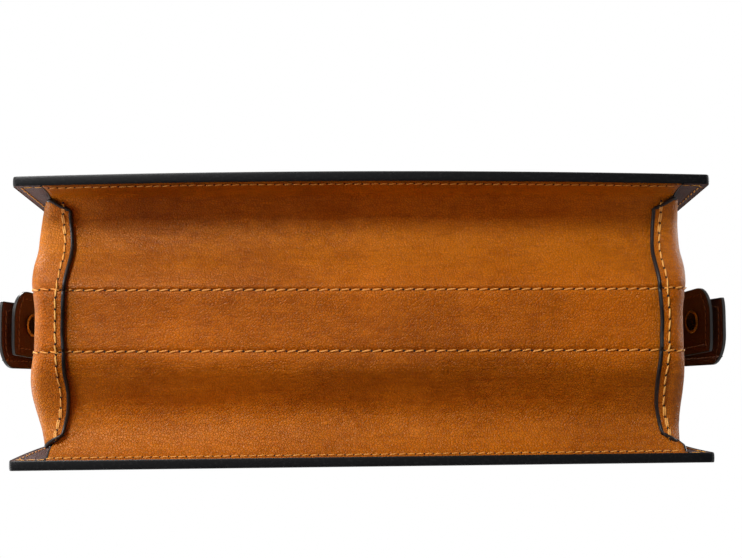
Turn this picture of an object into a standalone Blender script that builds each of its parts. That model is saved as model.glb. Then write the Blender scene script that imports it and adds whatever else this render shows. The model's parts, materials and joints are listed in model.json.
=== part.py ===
"""Leather satchel: two stiff panels, pleated gussets, two dividers, a flap with two buckled closure straps
held by magnetic snaps, a swinging top handle, and a ring with a snap tab at each side.

Metres, +Z up. The front faces -Y, and the origin is under the middle of the bag, on the ground."""

from math import cos, pi, radians, sin, tan

import bmesh
import bpy
from mathutils import Matrix, Vector

# Body
WIDTH = 0.400
HEIGHT = 0.290
DEPTH = 0.165
FRONT_LEAN = radians(6.5)
OUTER_PLY = 0.0025
LINING_PLY = 0.0022
GAP = 0.0003
PANEL_CORNER = 0.004

# Gussets and dividers
GUSSET_HALF_WIDTH = 0.186
GUSSET_PLY = 0.0022
TURN_RADIUS = 0.0085
TONGUE_END = 0.171
TONGUE_HALF_WIDTH = 0.0665
SIDE_HEIGHTS = (0.050, 0.085, 0.125, 0.170, 0.220, 0.268)
FOLD_FOOT = 0.035
FOLD_GROWTH = 0.090
FRONT_FOLD_PLACE = 0.19
BACK_FOLD_PLACE = 0.81
FOLD_SPREAD = 0.165
ROW_OFFSET = 0.0175
STRIP_HEIGHT = 0.0030
FRONT_FOLD_DEPTH = 0.016
BACK_FOLD_DEPTH = 0.013
DIVIDER_PLY = 0.0020
DIVIDER_TOP = 0.262
DIVIDER_SEAT = 0.0014
DIVIDER_CORNER = 0.009
BOARD_LENGTH = 0.330
BOARD_PLY = 0.0020

# Flap
HINGE_SETBACK = 0.0015
FLAP_CLEARANCE = 0.0035
FLAP_IN = 0.0008
FLAP_LINING_INSET = 0.002
FLAP_LINING_PLY = 0.0018
FLAP_PLY = 0.0025
FLAP_BOTTOM = 0.098
FLAP_CORNER_RADIUS = 0.003
ANCHOR_HEIGHT = 0.028

# Closures
STRAP_X = 0.105
STRAP_WIDTH = 0.026
STRAP_PLY = 0.0030
STRAP_TOP = 0.245
STRAP_BOTTOM = 0.056
MAGNET_RADIUS = 0.009
MAGNET_HEIGHT = 0.075
MAGNET_PLY = 0.0022
STRAP_CORNER = 0.008
BUCKLE_HEIGHT = 0.125
FRAME_WIDTH = 0.036
FRAME_TALL = 0.028
PRONG = (0.0022, 0.0018, 0.0235)
BUCKLE_CHAPE = (0.021, 0.0020, 0.025)
BUCKLE_CHAPE_CORNER = 0.003
KEEPER_TALL = 0.010
KEEPER_SIDE = 0.0025
KEEPER_LIFT = 0.004
WIRE = 0.0032

# Handle
HANDLE_X = 0.072
HANDLE_RISE = 0.050
HANDLE_RADIUS = 0.0062
RING_RISE = 0.018
CHAPE_PLY = 0.0022
HANDLE_Y = 0.018
HUMP_RADIUS = 0.0042
HOLE_RADIUS = 0.0026
CHAPE_WIDTH = 0.026
CHAPE_LENGTH = 0.034
HANDLE_RING_WIDTH = 0.036
LOOP_PLY = 0.0080
LOOP_TALL = 0.0100
LOOP_RISE = 0.0060

# Side rings and tabs
SIDE_BAR_HEIGHT = 0.2245
SIDE_RING_DROP = 0.019
SIDE_RING_WIDTH = 0.0462
SIDE_CHAPE_WIDTH = 0.034
SIDE_CHAPE_TALL = 0.038
TAB_WIDTH = 0.038
TAB_PLY = 0.0020
TAB_FLARE = radians(15.5)
INNER_TAB_LENGTH = 0.132
OUTER_TAB_LENGTH = 0.138
TAB_EASE = 0.020
FOLD_RADIUS = 0.0036
PLY_SPREAD = 0.0028
SNAP_RISE = 0.020
SNAP_RADIUS = 0.0075
CAP_PLY = 0.0012
SOCKET_RADIUS = 0.0065
SOCKET_PLY = 0.0024

LEATHER = (0.40, 0.12, 0.018)
DARK_LEATHER = (0.10, 0.025, 0.008)
LINING = (0.12, 0.05, 0.035)
BRASS = (0.62, 0.42, 0.12)
BOARD = (0.28, 0.22, 0.15)

SLOPE = tan(FRONT_LEAN)
MID_SLOPE = SLOPE / 2
FRONT_Y = -DEPTH / 2
BACK_Y = DEPTH / 2
PANEL_THICKNESS = OUTER_PLY + GAP + LINING_PLY

for old in list(bpy.data.objects):
    bpy.data.objects.remove(old, do_unlink=True)

parts = bpy.data.collections.new("leather_satchel")
cutters = bpy.data.collections.new("cutters")
bpy.context.scene.collection.children.link(parts)
bpy.context.scene.collection.children.link(cutters)


def finish_of(name, colour, metallic, roughness):
    material = bpy.data.materials.new(name)
    material.use_nodes = True
    shader = material.node_tree.nodes["Principled BSDF"]
    shader.inputs["Base Color"].default_value = (*colour, 1)
    shader.inputs["Metallic"].default_value = metallic
    shader.inputs["Roughness"].default_value = roughness
    return material


def piece(name, mesh_maker, colour=LEATHER, metallic=0.0, roughness=0.5):
    mesh = bpy.data.meshes.new(name)
    mesh_maker.to_mesh(mesh)
    mesh_maker.free()
    obj = bpy.data.objects.new(name, mesh)
    obj.data.materials.append(finish_of(name, colour, metallic, roughness))
    parts.objects.link(obj)
    return obj


def joint_point(name, location):
    empty = bpy.data.objects.new(name, None)
    empty.location = location
    parts.objects.link(empty)
    return empty


def hang_on(empty, *objects):
    for obj in objects:
        obj.parent = empty
        obj.location -= empty.location


def box(size, lean=0.0, round_axis=None, radius=0.0, segments=2):
    """A box centred on the origin, with y sheared by lean for each unit of z."""
    made = bmesh.new()
    bmesh.ops.create_cube(made, size=1)
    bmesh.ops.scale(made, vec=size, verts=made.verts)
    if round_axis is not None:
        along = [
            edge for edge in made.edges
            if abs((edge.verts[0].co - edge.verts[1].co)[round_axis]) > size[round_axis] * 0.9
        ]
        bmesh.ops.bevel(
            made, geom=along, offset=radius, segments=segments, profile=0.5,
            affect="EDGES", material=-1,
        )
    shear = Matrix.Identity(4)
    shear[1][2] = lean
    bmesh.ops.transform(made, matrix=shear, verts=made.verts)
    return made


def rod(radius, length, axis, segments=16):
    made = bmesh.new()
    bmesh.ops.create_cone(
        made, cap_ends=True, segments=segments, radius1=radius, radius2=radius, depth=length
    )
    turn = {"X": Matrix.Rotation(pi / 2, 4, "Y"), "Y": Matrix.Rotation(pi / 2, 4, "X")}
    bmesh.ops.transform(made, matrix=turn.get(axis, Matrix.Identity(4)), verts=made.verts)
    return made


def cutter(made, location):
    mesh = bpy.data.meshes.new("cutter")
    made.to_mesh(mesh)
    made.free()
    obj = bpy.data.objects.new("cutter", mesh)
    obj.location = location
    obj.hide_render = True
    obj.display_type = "WIRE"
    cutters.objects.link(obj)
    return obj


def combine(obj, other, operation):
    step = obj.modifiers.new(operation.lower(), "BOOLEAN")
    step.operation = operation
    step.object = other


def offset_path(points, distance):
    """The path moved to the left of its direction of travel."""
    moved = []
    last = len(points) - 1
    for i, point in enumerate(points):
        before = (point - points[max(i - 1, 0)]).normalized()
        after = (points[min(i + 1, last)] - point).normalized()
        before = before if i else after
        after = after if i < last else before
        across = (before + after).normalized()
        stretch = max(across.dot(before), 0.5)
        moved.append(point + Vector((-across.y, across.x)) * distance / stretch)
    return moved


def smooth_path(points, steps):
    """A Catmull-Rom curve through the points."""
    path = []
    ends = [points[0] * 2 - points[1], *points, points[-1] * 2 - points[-2]]
    for a, b, c, d in zip(ends, ends[1:], ends[2:], ends[3:]):
        for step in range(steps):
            t = step / steps
            path.append(
                0.5 * (2 * b + (c - a) * t + (2 * a - 5 * b + 4 * c - d) * t**2
                       + (3 * b - a - 3 * c + d) * t**3)
            )
    path.append(points[-1])
    return path


def strip(path, width, plane="YZ"):
    """An open sheet: the path, given in that plane, drawn out to its width across it."""
    made = bmesh.new()
    sides = []
    for side in (-width / 2, width / 2):
        spots = [
            (side, p.x, p.y) if plane == "YZ" else (p.x, side, p.y) for p in path
        ]
        sides.append([made.verts.new(spot) for spot in spots])
    for i in range(len(path) - 1):
        made.faces.new((sides[0][i], sides[0][i + 1], sides[1][i + 1], sides[1][i]))
    return made


def thicken(obj, thickness):
    step = obj.modifiers.new("thickness", "SOLIDIFY")
    step.thickness = abs(thickness)
    step.offset = 1 if thickness > 0 else -1
    step.use_even_offset = True


def front_point(height, out):
    """A point on the front panel's outer face at this height, moved out along its normal."""
    return (
        FRONT_Y + height * SLOPE - out * cos(FRONT_LEAN),
        height + out * sin(FRONT_LEAN),
    )


def on_front(obj, x, height, out):
    y, z = front_point(height, out)
    obj.location = (x, y, z)
    obj.rotation_euler = (-FRONT_LEAN, 0, 0)
    return obj


# Panels: an outer leather and a lining ply each, cut level along the bottom
def panel(name, y_at_ground, ply, slope, colour):
    made = box((WIDTH, ply, HEIGHT), slope, 1, PANEL_CORNER, 3)
    obj = piece(name, made, colour)
    obj.location = (0, y_at_ground + ply / 2 + slope * HEIGHT / 2, HEIGHT / 2)
    return obj


panel("front_panel", FRONT_Y, OUTER_PLY, SLOPE, LEATHER)
panel("front_lining", FRONT_Y + OUTER_PLY + GAP, LINING_PLY, SLOPE, LINING)
panel("back_panel", BACK_Y - OUTER_PLY, OUTER_PLY, 0, LEATHER)
panel("back_lining", BACK_Y - PANEL_THICKNESS, LINING_PLY, 0, LINING)

# Bottom gusset: a flange up each panel, a deep fold in front, a flat strip, and a shallow fold behind
front_wall = FRONT_Y + PANEL_THICKNESS + GAP
back_wall = BACK_Y - PANEL_THICKNESS - GAP
front_flange = front_wall + GUSSET_PLY
back_flange = back_wall - GUSSET_PLY
bottom_line = smooth_path(
    [
        Vector((front_flange, 0.0006)),
        Vector((front_flange + 0.0016, 0.0120)),
        Vector((front_flange + 0.0055, 0.0215)),
        Vector((-0.0590, 0.0262)),
        Vector((-0.0440, 0.0195)),
        Vector((-0.0270, 0.0070)),
        Vector((-ROW_OFFSET, STRIP_HEIGHT)),
        Vector((0.0, STRIP_HEIGHT)),
        Vector((ROW_OFFSET, STRIP_HEIGHT)),
        Vector((0.0300, 0.0080)),
        Vector((0.0520, 0.0140)),
        Vector((0.0685, 0.0120)),
        Vector((back_flange - 0.0003, 0.0050)),
        Vector((back_flange, 0.0006)),
    ],
    3,
)
bottom_gusset = piece("bottom_gusset", strip(bottom_line, 2 * (GUSSET_HALF_WIDTH - TURN_RADIUS)))
thicken(bottom_gusset, -GUSSET_PLY)

# Side gussets: they turn under the bottom gusset and end there in a tongue
tongue_line = [
    p for p in offset_path(bottom_line, -(GUSSET_PLY + 2 * GAP)) if abs(p.x) < TONGUE_HALF_WIDTH
]


def fold_depth(across, height):
    """How far the side folds in: nothing low down, then a fold on each side of the middle strip."""
    grown = min(max((height - FOLD_FOOT) / FOLD_GROWTH, 0), 1)
    grown = grown * grown * (3 - 2 * grown)
    depth = 0
    folds = ((FRONT_FOLD_PLACE, FRONT_FOLD_DEPTH), (BACK_FOLD_PLACE, BACK_FOLD_DEPTH))
    for middle, deepest in folds:
        away = min(abs(across - middle) / FOLD_SPREAD, 1)
        depth += deepest * cos(away * pi / 2) ** 2
    return depth * grown


def side_gusset(name, side):
    made = bmesh.new()
    first, last = tongue_line[0].x, tongue_line[-1].x
    rows = []
    turn_centre = GUSSET_HALF_WIDTH - TURN_RADIUS
    turned = [(TONGUE_END, 0), (turn_centre, 0)]
    for step in range(1, 5):
        angle = step * pi / 8
        turned.append(
            (turn_centre + TURN_RADIUS * sin(angle), TURN_RADIUS * (1 - cos(angle)))
        )
    for reach, rise in turned:
        rows.append([made.verts.new((side * reach, p.x, p.y + rise)) for p in tongue_line])
    for height in SIDE_HEIGHTS:
        row = []
        near = front_wall + height * SLOPE + GAP
        far = back_wall - GAP
        for p in tongue_line:
            across = (p.x - first) / (last - first)
            reach = GUSSET_HALF_WIDTH - fold_depth(across, height)
            row.append(made.verts.new((side * reach, near + (far - near) * across, height)))
        rows.append(row)
    for low, high in zip(rows, rows[1:]):
        for i in range(len(low) - 1):
            corners = (low[i], low[i + 1], high[i + 1], high[i])
            made.faces.new(corners if side > 0 else corners[::-1])
    made.normal_update()
    obj = piece(name, made)
    thicken(obj, -GUSSET_PLY)
    return obj


side_gusset("side_gusset_left", -1)
side_gusset("side_gusset_right", 1)


# Dividers and the board between them
def divider(name, y_at_ground):
    low = STRIP_HEIGHT + GUSSET_PLY + DIVIDER_SEAT
    tall = DIVIDER_TOP - low
    half = GUSSET_HALF_WIDTH - GUSSET_PLY - 5 * GAP
    made = box((2 * half, DIVIDER_PLY, tall), MID_SLOPE, 1, DIVIDER_CORNER)
    obj = piece(name, made, LINING)
    middle = (low + DIVIDER_TOP) / 2
    obj.location = (0, y_at_ground + MID_SLOPE * middle, middle)


divider("divider_front", -ROW_OFFSET)
divider("divider_rear", ROW_OFFSET)
board_level = STRIP_HEIGHT + GUSSET_PLY + GAP + BOARD_PLY / 2
board_depth = 2 * ROW_OFFSET - DIVIDER_PLY - 4 * GAP
base_board = piece("base_board", box((BOARD_LENGTH, board_depth, BOARD_PLY)), BOARD)
base_board.location = (0, MID_SLOPE * board_level, board_level)

# Flap: leather and lining bent over the top, and the strip sewn to the back panel
flap_level = HEIGHT + FLAP_CLEARANCE
hinge_y = BACK_Y + HINGE_SETBACK
flap_hinge = joint_point("flap_hinge", (0, hinge_y, flap_level + FLAP_LINING_PLY))


def flap_line():
    corner = Vector((FRONT_Y + flap_level * SLOPE - FLAP_IN, flap_level))
    turn = pi / 2 - FRONT_LEAN
    reach = FLAP_CORNER_RADIUS * tan(turn / 2)
    centre = corner + Vector((reach, -FLAP_CORNER_RADIUS))
    line = [Vector((hinge_y, flap_level)), Vector((0, flap_level))]
    for step in range(6):
        angle = pi / 2 + turn * step / 5
        line.append(centre + FLAP_CORNER_RADIUS * Vector((cos(angle), sin(angle))))
    line.append(Vector((FRONT_Y + FLAP_BOTTOM * SLOPE - FLAP_IN, FLAP_BOTTOM)))
    return line


inside_line = flap_line()
flap_lining = piece("flap_lining", strip(inside_line, WIDTH - 2 * FLAP_LINING_INSET), LINING)
thicken(flap_lining, FLAP_LINING_PLY)
outside_line = offset_path(inside_line, -(FLAP_LINING_PLY + GAP))
flap_panel = piece("flap_panel", strip(outside_line, WIDTH))
thicken(flap_panel, FLAP_PLY)
flap_anchor = piece("flap_anchor", box((WIDTH, OUTER_PLY, ANCHOR_HEIGHT)))
flap_anchor.location = (
    0, BACK_Y + GAP + OUTER_PLY / 2, HEIGHT + GAP - ANCHOR_HEIGHT / 2,
)
hang_on(flap_hinge, flap_lining, flap_panel)

# Closures: each height below is up the leaning front, and out is away from the front panel
flap_out = FLAP_IN + FLAP_LINING_PLY + GAP + FLAP_PLY
strap_out = flap_out + GAP
frame_out = strap_out + STRAP_PLY + GAP


def ring(width, tall, wire):
    """A rectangular wire loop in the XZ plane."""
    obj = piece("ring", box((width, wire, tall), 0, 1, wire, 2), BRASS, 1.0, 0.3)
    window = box((width - 2 * wire, 3 * wire, tall - 2 * wire), 0, 1, wire / 3, 1)
    combine(obj, cutter(window, (0, 0, 0)), "DIFFERENCE")
    return obj


def solidified(obj):
    """The object with its modifiers made part of its mesh, so that it may be turned and moved."""
    bpy.context.view_layer.update()
    graph = bpy.context.evaluated_depsgraph_get()
    mesh = bpy.data.meshes.new_from_object(obj.evaluated_get(graph))
    obj.modifiers.clear()
    obj.data = mesh
    return obj


def closure(hand, side):
    x = side * STRAP_X
    length = (STRAP_TOP - STRAP_BOTTOM) / cos(FRONT_LEAN)
    strap = piece(
        f"closure_strap_{hand}",
        box((STRAP_WIDTH, STRAP_PLY, length), 0, 1, STRAP_CORNER, 3),
        DARK_LEATHER,
    )
    on_front(strap, x, (STRAP_TOP + STRAP_BOTTOM) / 2, strap_out + STRAP_PLY / 2)
    frame = solidified(ring(FRAME_WIDTH, FRAME_TALL, WIRE))
    frame.name = f"buckle_frame_{hand}"
    on_front(frame, x, BUCKLE_HEIGHT, frame_out + WIRE / 2)
    front_of_frame = frame_out + WIRE + GAP
    prong = piece(f"buckle_prong_{hand}", box(PRONG), BRASS, 1.0, 0.3)
    on_front(prong, x, BUCKLE_HEIGHT - FRAME_TALL / 2 + PRONG[2] / 2, front_of_frame + PRONG[1] / 2)
    chape_shape = box(BUCKLE_CHAPE, 0, 1, BUCKLE_CHAPE_CORNER)
    chape = piece(f"buckle_chape_{hand}", chape_shape, DARK_LEATHER)
    chape_height = BUCKLE_HEIGHT - FRAME_TALL / 2 + PRONG[2] + GAP * 2 + BUCKLE_CHAPE[2] / 2
    on_front(chape, x, chape_height, front_of_frame + BUCKLE_CHAPE[1] / 2)
    keeper_depth = STRAP_PLY + KEEPER_SIDE
    keeper_shape = box((STRAP_WIDTH + 2 * KEEPER_SIDE, keeper_depth, KEEPER_TALL))
    keeper = piece(f"strap_keeper_{hand}", keeper_shape, DARK_LEATHER)
    tunnel = box((STRAP_WIDTH + 4 * GAP, keeper_depth, 2 * KEEPER_TALL))
    combine(keeper, cutter(tunnel, (0, KEEPER_SIDE - GAP, 0)), "DIFFERENCE")
    solidified(keeper)
    on_front(keeper, x, FLAP_BOTTOM + KEEPER_LIFT, strap_out + keeper_depth / 2)
    cap = piece(f"magnet_cap_{hand}", rod(MAGNET_RADIUS, MAGNET_PLY, "Y", 20), BRASS, 1.0, 0.3)
    on_front(cap, x, MAGNET_HEIGHT, strap_out - GAP - MAGNET_PLY / 2)
    socket = piece(f"magnet_socket_{hand}", rod(MAGNET_RADIUS, MAGNET_PLY, "Y", 20), BRASS, 1.0, 0.3)
    on_front(socket, x, MAGNET_HEIGHT, GAP + MAGNET_PLY / 2)
    hang_on(flap_hinge, strap, frame, prong, chape, keeper, cap)


closure("left", -1)
closure("right", 1)

# Handle: chapes on the flap hold the ring bars, and loops on the rings hold the grip
flap_top = flap_level + FLAP_LINING_PLY + GAP + FLAP_PLY
bar_height = flap_top + GAP + HUMP_RADIUS
handle_swing = joint_point("handle_swing", (0, HANDLE_Y, bar_height))


def folded_chape(name, width, tail, tail_offset, axis):
    """A tail plate with a hump over the ring's bar, which runs along the axis through its hole."""
    obj = piece(name, box(tail), DARK_LEATHER)
    obj.data.transform(Matrix.Translation(tail_offset))
    combine(obj, cutter(rod(HUMP_RADIUS, width, axis, 20), (0, 0, 0)), "UNION")
    combine(obj, cutter(rod(HOLE_RADIUS, 2 * width, axis, 16), (0, 0, 0)), "DIFFERENCE")
    return solidified(obj)


for hand, side in (("left", -1), ("right", 1)):
    x = side * HANDLE_X
    chape = folded_chape(
        f"handle_chape_{hand}", CHAPE_WIDTH, (CHAPE_WIDTH, CHAPE_LENGTH, CHAPE_PLY),
        (0, 0, CHAPE_PLY / 2 - HUMP_RADIUS), "X",
    )
    chape.location = (x, HANDLE_Y, bar_height)
    handle_ring = solidified(ring(HANDLE_RING_WIDTH, RING_RISE + WIRE, WIRE))
    handle_ring.name = f"handle_ring_{hand}"
    handle_ring.location = (x, HANDLE_Y, bar_height + RING_RISE / 2)
    loop = folded_chape(
        f"handle_loop_{hand}", CHAPE_WIDTH, (CHAPE_WIDTH, LOOP_PLY, LOOP_TALL),
        (0, 0, LOOP_RISE), "X",
    )
    loop.location = (x, HANDLE_Y, bar_height + RING_RISE)
    hang_on(flap_hinge, chape)
    hang_on(handle_swing, handle_ring, loop)

grip_foot = bar_height + RING_RISE + LOOP_RISE + LOOP_TALL / 2 + GAP
grip_top = flap_top + HANDLE_RISE
grip_line = bpy.data.curves.new("handle_grip", "CURVE")
grip_line.dimensions = "3D"
grip_line.bevel_depth = HANDLE_RADIUS
grip_line.bevel_resolution = 2
grip_line.use_fill_caps = True
spline = grip_line.splines.new("POLY")
half_arch = smooth_path(
    [
        Vector((HANDLE_X, grip_foot)),
        Vector((HANDLE_X - 0.001, grip_foot + 0.004)),
        Vector((HANDLE_X - 0.010, grip_top - 0.006)),
        Vector((HANDLE_X - 0.028, grip_top - 0.001)),
        Vector((0, grip_top)),
    ],
    3,
)
arch = [(-p.x, p.y) for p in half_arch] + [(p.x, p.y) for p in reversed(half_arch[:-1])]
spline.points.add(len(arch) - 1)
for point, (x, z) in zip(spline.points, arch):
    point.co = (x, 0, z - bar_height, 1)
handle_grip = bpy.data.objects.new("handle_grip", grip_line)
handle_grip.location = (0, HANDLE_Y, bar_height)
grip_line.materials.append(finish_of("handle_grip", DARK_LEATHER, 0.0, 0.5))
parts.objects.link(handle_grip)
hang_on(handle_swing, handle_grip)
handle_swing.parent = flap_hinge
handle_swing.location -= flap_hinge.location

# Side rings and tabs: the ring hangs in a chape on the gusset, and the tab hangs on the ring
bar_reach = GUSSET_HALF_WIDTH + GAP * 2 + HUMP_RADIUS
low_bar = SIDE_BAR_HEIGHT - SIDE_RING_DROP


def tab_point(along, out):
    """Along the tab from the ring's lower bar, and out from its middle."""
    return Vector(
        (
            bar_reach + along * sin(TAB_FLARE) + out * cos(TAB_FLARE),
            low_bar - along * cos(TAB_FLARE) + out * sin(TAB_FLARE),
        )
    )


def tab_line():
    line = [tab_point(INNER_TAB_LENGTH, -PLY_SPREAD), tab_point(TAB_EASE, -FOLD_RADIUS)]
    for step in range(9):
        angle = pi * step / 8
        line.append(tab_point(-FOLD_RADIUS * sin(angle), -FOLD_RADIUS * cos(angle)))
    line += [tab_point(TAB_EASE, FOLD_RADIUS), tab_point(OUTER_TAB_LENGTH, PLY_SPREAD)]
    return line


for hand, side in (("left", -1), ("right", 1)):
    chape_y = MID_SLOPE * SIDE_BAR_HEIGHT
    chape = folded_chape(
        f"side_chape_{hand}", SIDE_CHAPE_WIDTH, (CHAPE_PLY, SIDE_CHAPE_WIDTH, SIDE_CHAPE_TALL),
        (side * (CHAPE_PLY / 2 - HUMP_RADIUS), 0, SIDE_CHAPE_TALL / 2), "Y",
    )
    chape.location = (side * bar_reach, chape_y, SIDE_BAR_HEIGHT)
    side_ring = solidified(ring(SIDE_RING_WIDTH, SIDE_RING_DROP + WIRE, WIRE))
    side_ring.name = f"side_ring_{hand}"
    side_ring.rotation_euler = (0, 0, pi / 2)
    side_ring.location = (side * bar_reach, chape_y, SIDE_BAR_HEIGHT - SIDE_RING_DROP / 2)
    ring_swing = joint_point(f"ring_swing_{hand}", (side * bar_reach, chape_y, SIDE_BAR_HEIGHT))
    tab_swing = joint_point(f"tab_swing_{hand}", (side * bar_reach, chape_y, low_bar))

    middle_line = tab_line()
    made = strip([Vector((side * p.x, p.y)) for p in middle_line], TAB_WIDTH, "XZ")
    lean = Matrix.Identity(4)
    lean[1][2] = MID_SLOPE
    lean[1][3] = chape_y - MID_SLOPE * low_bar
    bmesh.ops.transform(made, matrix=lean, verts=made.verts)
    tab = piece(f"side_tab_{hand}", made, DARK_LEATHER)
    step = tab.modifiers.new("thickness", "SOLIDIFY")
    step.thickness = TAB_PLY
    step.offset = 0
    step.use_even_offset = True

    snap_along = INNER_TAB_LENGTH - SNAP_RISE
    snap_turn = (0, -side * TAB_FLARE, 0)
    cap = piece(f"snap_cap_{hand}", rod(SNAP_RADIUS, CAP_PLY, "X", 24), BRASS, 1.0, 0.3)
    spot = tab_point(snap_along, -PLY_SPREAD - TAB_PLY / 2 - GAP - CAP_PLY / 2)
    snap_y = chape_y + MID_SLOPE * (spot.y - low_bar)
    cap.location = (side * spot.x, snap_y, spot.y)
    cap.rotation_euler = snap_turn
    socket_shape = rod(SOCKET_RADIUS, SOCKET_PLY, "X", 20)
    socket = piece(f"snap_socket_{hand}", socket_shape, BRASS, 1.0, 0.3)
    spot = tab_point(snap_along, 0)
    socket.location = (side * spot.x, snap_y, spot.y)
    socket.rotation_euler = snap_turn

    hang_on(tab_swing, tab, cap, socket)
    hang_on(ring_swing, side_ring, tab_swing)
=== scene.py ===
import json
from math import cos, pi, radians, sin, sqrt, tan

import bmesh
import bpy
from mathutils import Matrix, Vector, noise

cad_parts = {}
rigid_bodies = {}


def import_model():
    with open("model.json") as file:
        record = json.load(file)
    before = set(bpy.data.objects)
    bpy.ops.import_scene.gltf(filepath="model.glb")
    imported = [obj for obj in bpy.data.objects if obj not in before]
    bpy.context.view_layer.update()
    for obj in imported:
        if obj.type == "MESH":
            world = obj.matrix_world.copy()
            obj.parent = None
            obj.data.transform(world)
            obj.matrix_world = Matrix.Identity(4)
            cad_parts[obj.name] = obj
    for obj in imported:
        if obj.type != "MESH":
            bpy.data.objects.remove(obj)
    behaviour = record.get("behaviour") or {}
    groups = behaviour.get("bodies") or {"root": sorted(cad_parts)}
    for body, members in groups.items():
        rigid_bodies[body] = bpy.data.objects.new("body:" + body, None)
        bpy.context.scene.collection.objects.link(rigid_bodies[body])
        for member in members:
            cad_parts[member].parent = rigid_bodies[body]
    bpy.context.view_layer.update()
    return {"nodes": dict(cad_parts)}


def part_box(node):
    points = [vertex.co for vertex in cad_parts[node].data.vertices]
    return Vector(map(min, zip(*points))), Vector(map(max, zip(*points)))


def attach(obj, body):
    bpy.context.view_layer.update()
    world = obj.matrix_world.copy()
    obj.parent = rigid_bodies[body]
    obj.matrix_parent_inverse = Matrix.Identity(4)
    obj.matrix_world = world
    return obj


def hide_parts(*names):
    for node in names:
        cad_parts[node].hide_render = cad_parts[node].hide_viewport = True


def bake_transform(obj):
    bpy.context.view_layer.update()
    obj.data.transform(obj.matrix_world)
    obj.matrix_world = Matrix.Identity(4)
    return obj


for startup_object in list(bpy.data.objects):
    bpy.data.objects.remove(startup_object, do_unlink=True)
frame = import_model()

# --------------------------------------------------------------------------------------------------
# The room: a pale floor that is open from below, four soft lights round a standing bag and three under it,
# and a camera that looks up at the base from just behind its middle.
scene = bpy.context.scene
scene.view_settings.view_transform = "Standard"


def linear(hex_colour):
    """An sRGB hex colour as the linear RGBA that shader sockets take."""
    channels = [int(hex_colour[i:i + 2], 16) / 255 for i in (1, 3, 5)]
    return (*(c / 12.92 if c <= 0.04045 else ((c + 0.055) / 1.055) ** 2.4 for c in channels), 1.0)


def add(tree, kind, settings=None, inputs=None):
    """A node of that kind with its settings, and with its inputs either linked or given a value."""
    node = tree.nodes.new(kind)
    for name, value in (settings or {}).items():
        setattr(node, name, value)
    for name, value in (inputs or {}).items():
        if isinstance(value, bpy.types.NodeSocket):
            tree.links.new(value, node.inputs[name])
        else:
            node.inputs[name].default_value = value
    return node


# How many metres the floor reaches each way, and its glow to the camera, which keeps it pale all over.
FLOOR_HALF = 2.2
FLOOR_GLOW = 0.42
floor_bm = bmesh.new()
bmesh.ops.create_grid(floor_bm, x_segments=1, y_segments=1, size=FLOOR_HALF)
floor_mesh = bpy.data.meshes.new("floor")
floor_bm.to_mesh(floor_mesh)
floor_bm.free()
floor = bpy.data.objects.new("floor", floor_mesh)
scene.collection.objects.link(floor)
floor.visible_shadow = False
floor_paint = bpy.data.materials.new("pale_matt_paint")
floor_paint.use_nodes = True
paint_tree = floor_paint.node_tree
floor_shader = paint_tree.nodes["Principled BSDF"]
floor_shader.inputs["Base Color"].default_value = linear("#efedea")
floor_shader.inputs["Roughness"].default_value = 0.9
floor_shader.inputs["Emission Color"].default_value = (1, 1, 1, 1)
far_glow = add(
    paint_tree, "ShaderNodeMath", {"operation": "MULTIPLY"},
    {0: add(paint_tree, "ShaderNodeLightPath").outputs["Is Camera Ray"], 1: FLOOR_GLOW},
)
paint_tree.links.new(far_glow.outputs[0], floor_shader.inputs["Emission Strength"])
open_below = add(
    paint_tree, "ShaderNodeMixShader", {},
    {
        0: add(paint_tree, "ShaderNodeNewGeometry").outputs["Backfacing"],
        1: floor_shader.outputs[0],
        2: add(paint_tree, "ShaderNodeBsdfTransparent").outputs[0],
    },
)
paint_tree.links.new(open_below.outputs[0], paint_tree.nodes["Material Output"].inputs[0])
floor_mesh.materials.append(floor_paint)

world = bpy.data.worlds.new("white_room")
world.use_nodes = True
scene.world = world
room_tree = world.node_tree
AMBIENT = 0.30
brightness = add(
    room_tree, "ShaderNodeMapRange", {},
    {
        "Value": add(room_tree, "ShaderNodeLightPath").outputs["Is Camera Ray"],
        "To Min": AMBIENT,
        "To Max": 1.0,
    },
)
room_tree.nodes["Background"].inputs["Color"].default_value = (1, 1, 1, 1)
room_tree.links.new(brightness.outputs[0], room_tree.nodes["Background"].inputs["Strength"])

# Each light's place and width in metres, and its watts.
LAMPS = {
    "base_key": ((-0.85, -1.10, -1.00), 0.6, 25),
    "base_left": ((-1.30, 0.10, -0.45), 0.7, 9),
    "base_fill": ((-0.3, 0.7, -1.3), 1.4, 3.5),
    "front_key": ((-1.0, -1.5, 1.3), 1.0, 28),
    "right_fill": ((1.7, -0.7, 0.9), 1.2, 16),
    "back_light": ((-0.4, 1.8, 1.2), 1.2, 25),
    "left_fill": ((-1.7, 0.5, 0.7), 1.0, 10),
}
lamp_target = Vector((0, 0, 0.06))
for lamp_name, (lamp_place, lamp_size, lamp_watts) in LAMPS.items():
    lamp_data = bpy.data.lights.new(lamp_name, "AREA")
    lamp_data.shape = "DISK"
    lamp_data.size = lamp_size
    lamp_data.energy = lamp_watts
    lamp = bpy.data.objects.new(lamp_name, lamp_data)
    lamp.location = lamp_place
    lamp.rotation_euler = (lamp_target - Vector(lamp_place)).to_track_quat("-Z", "Y").to_euler()
    lamp.visible_camera = False
    scene.collection.objects.link(lamp)

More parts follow.
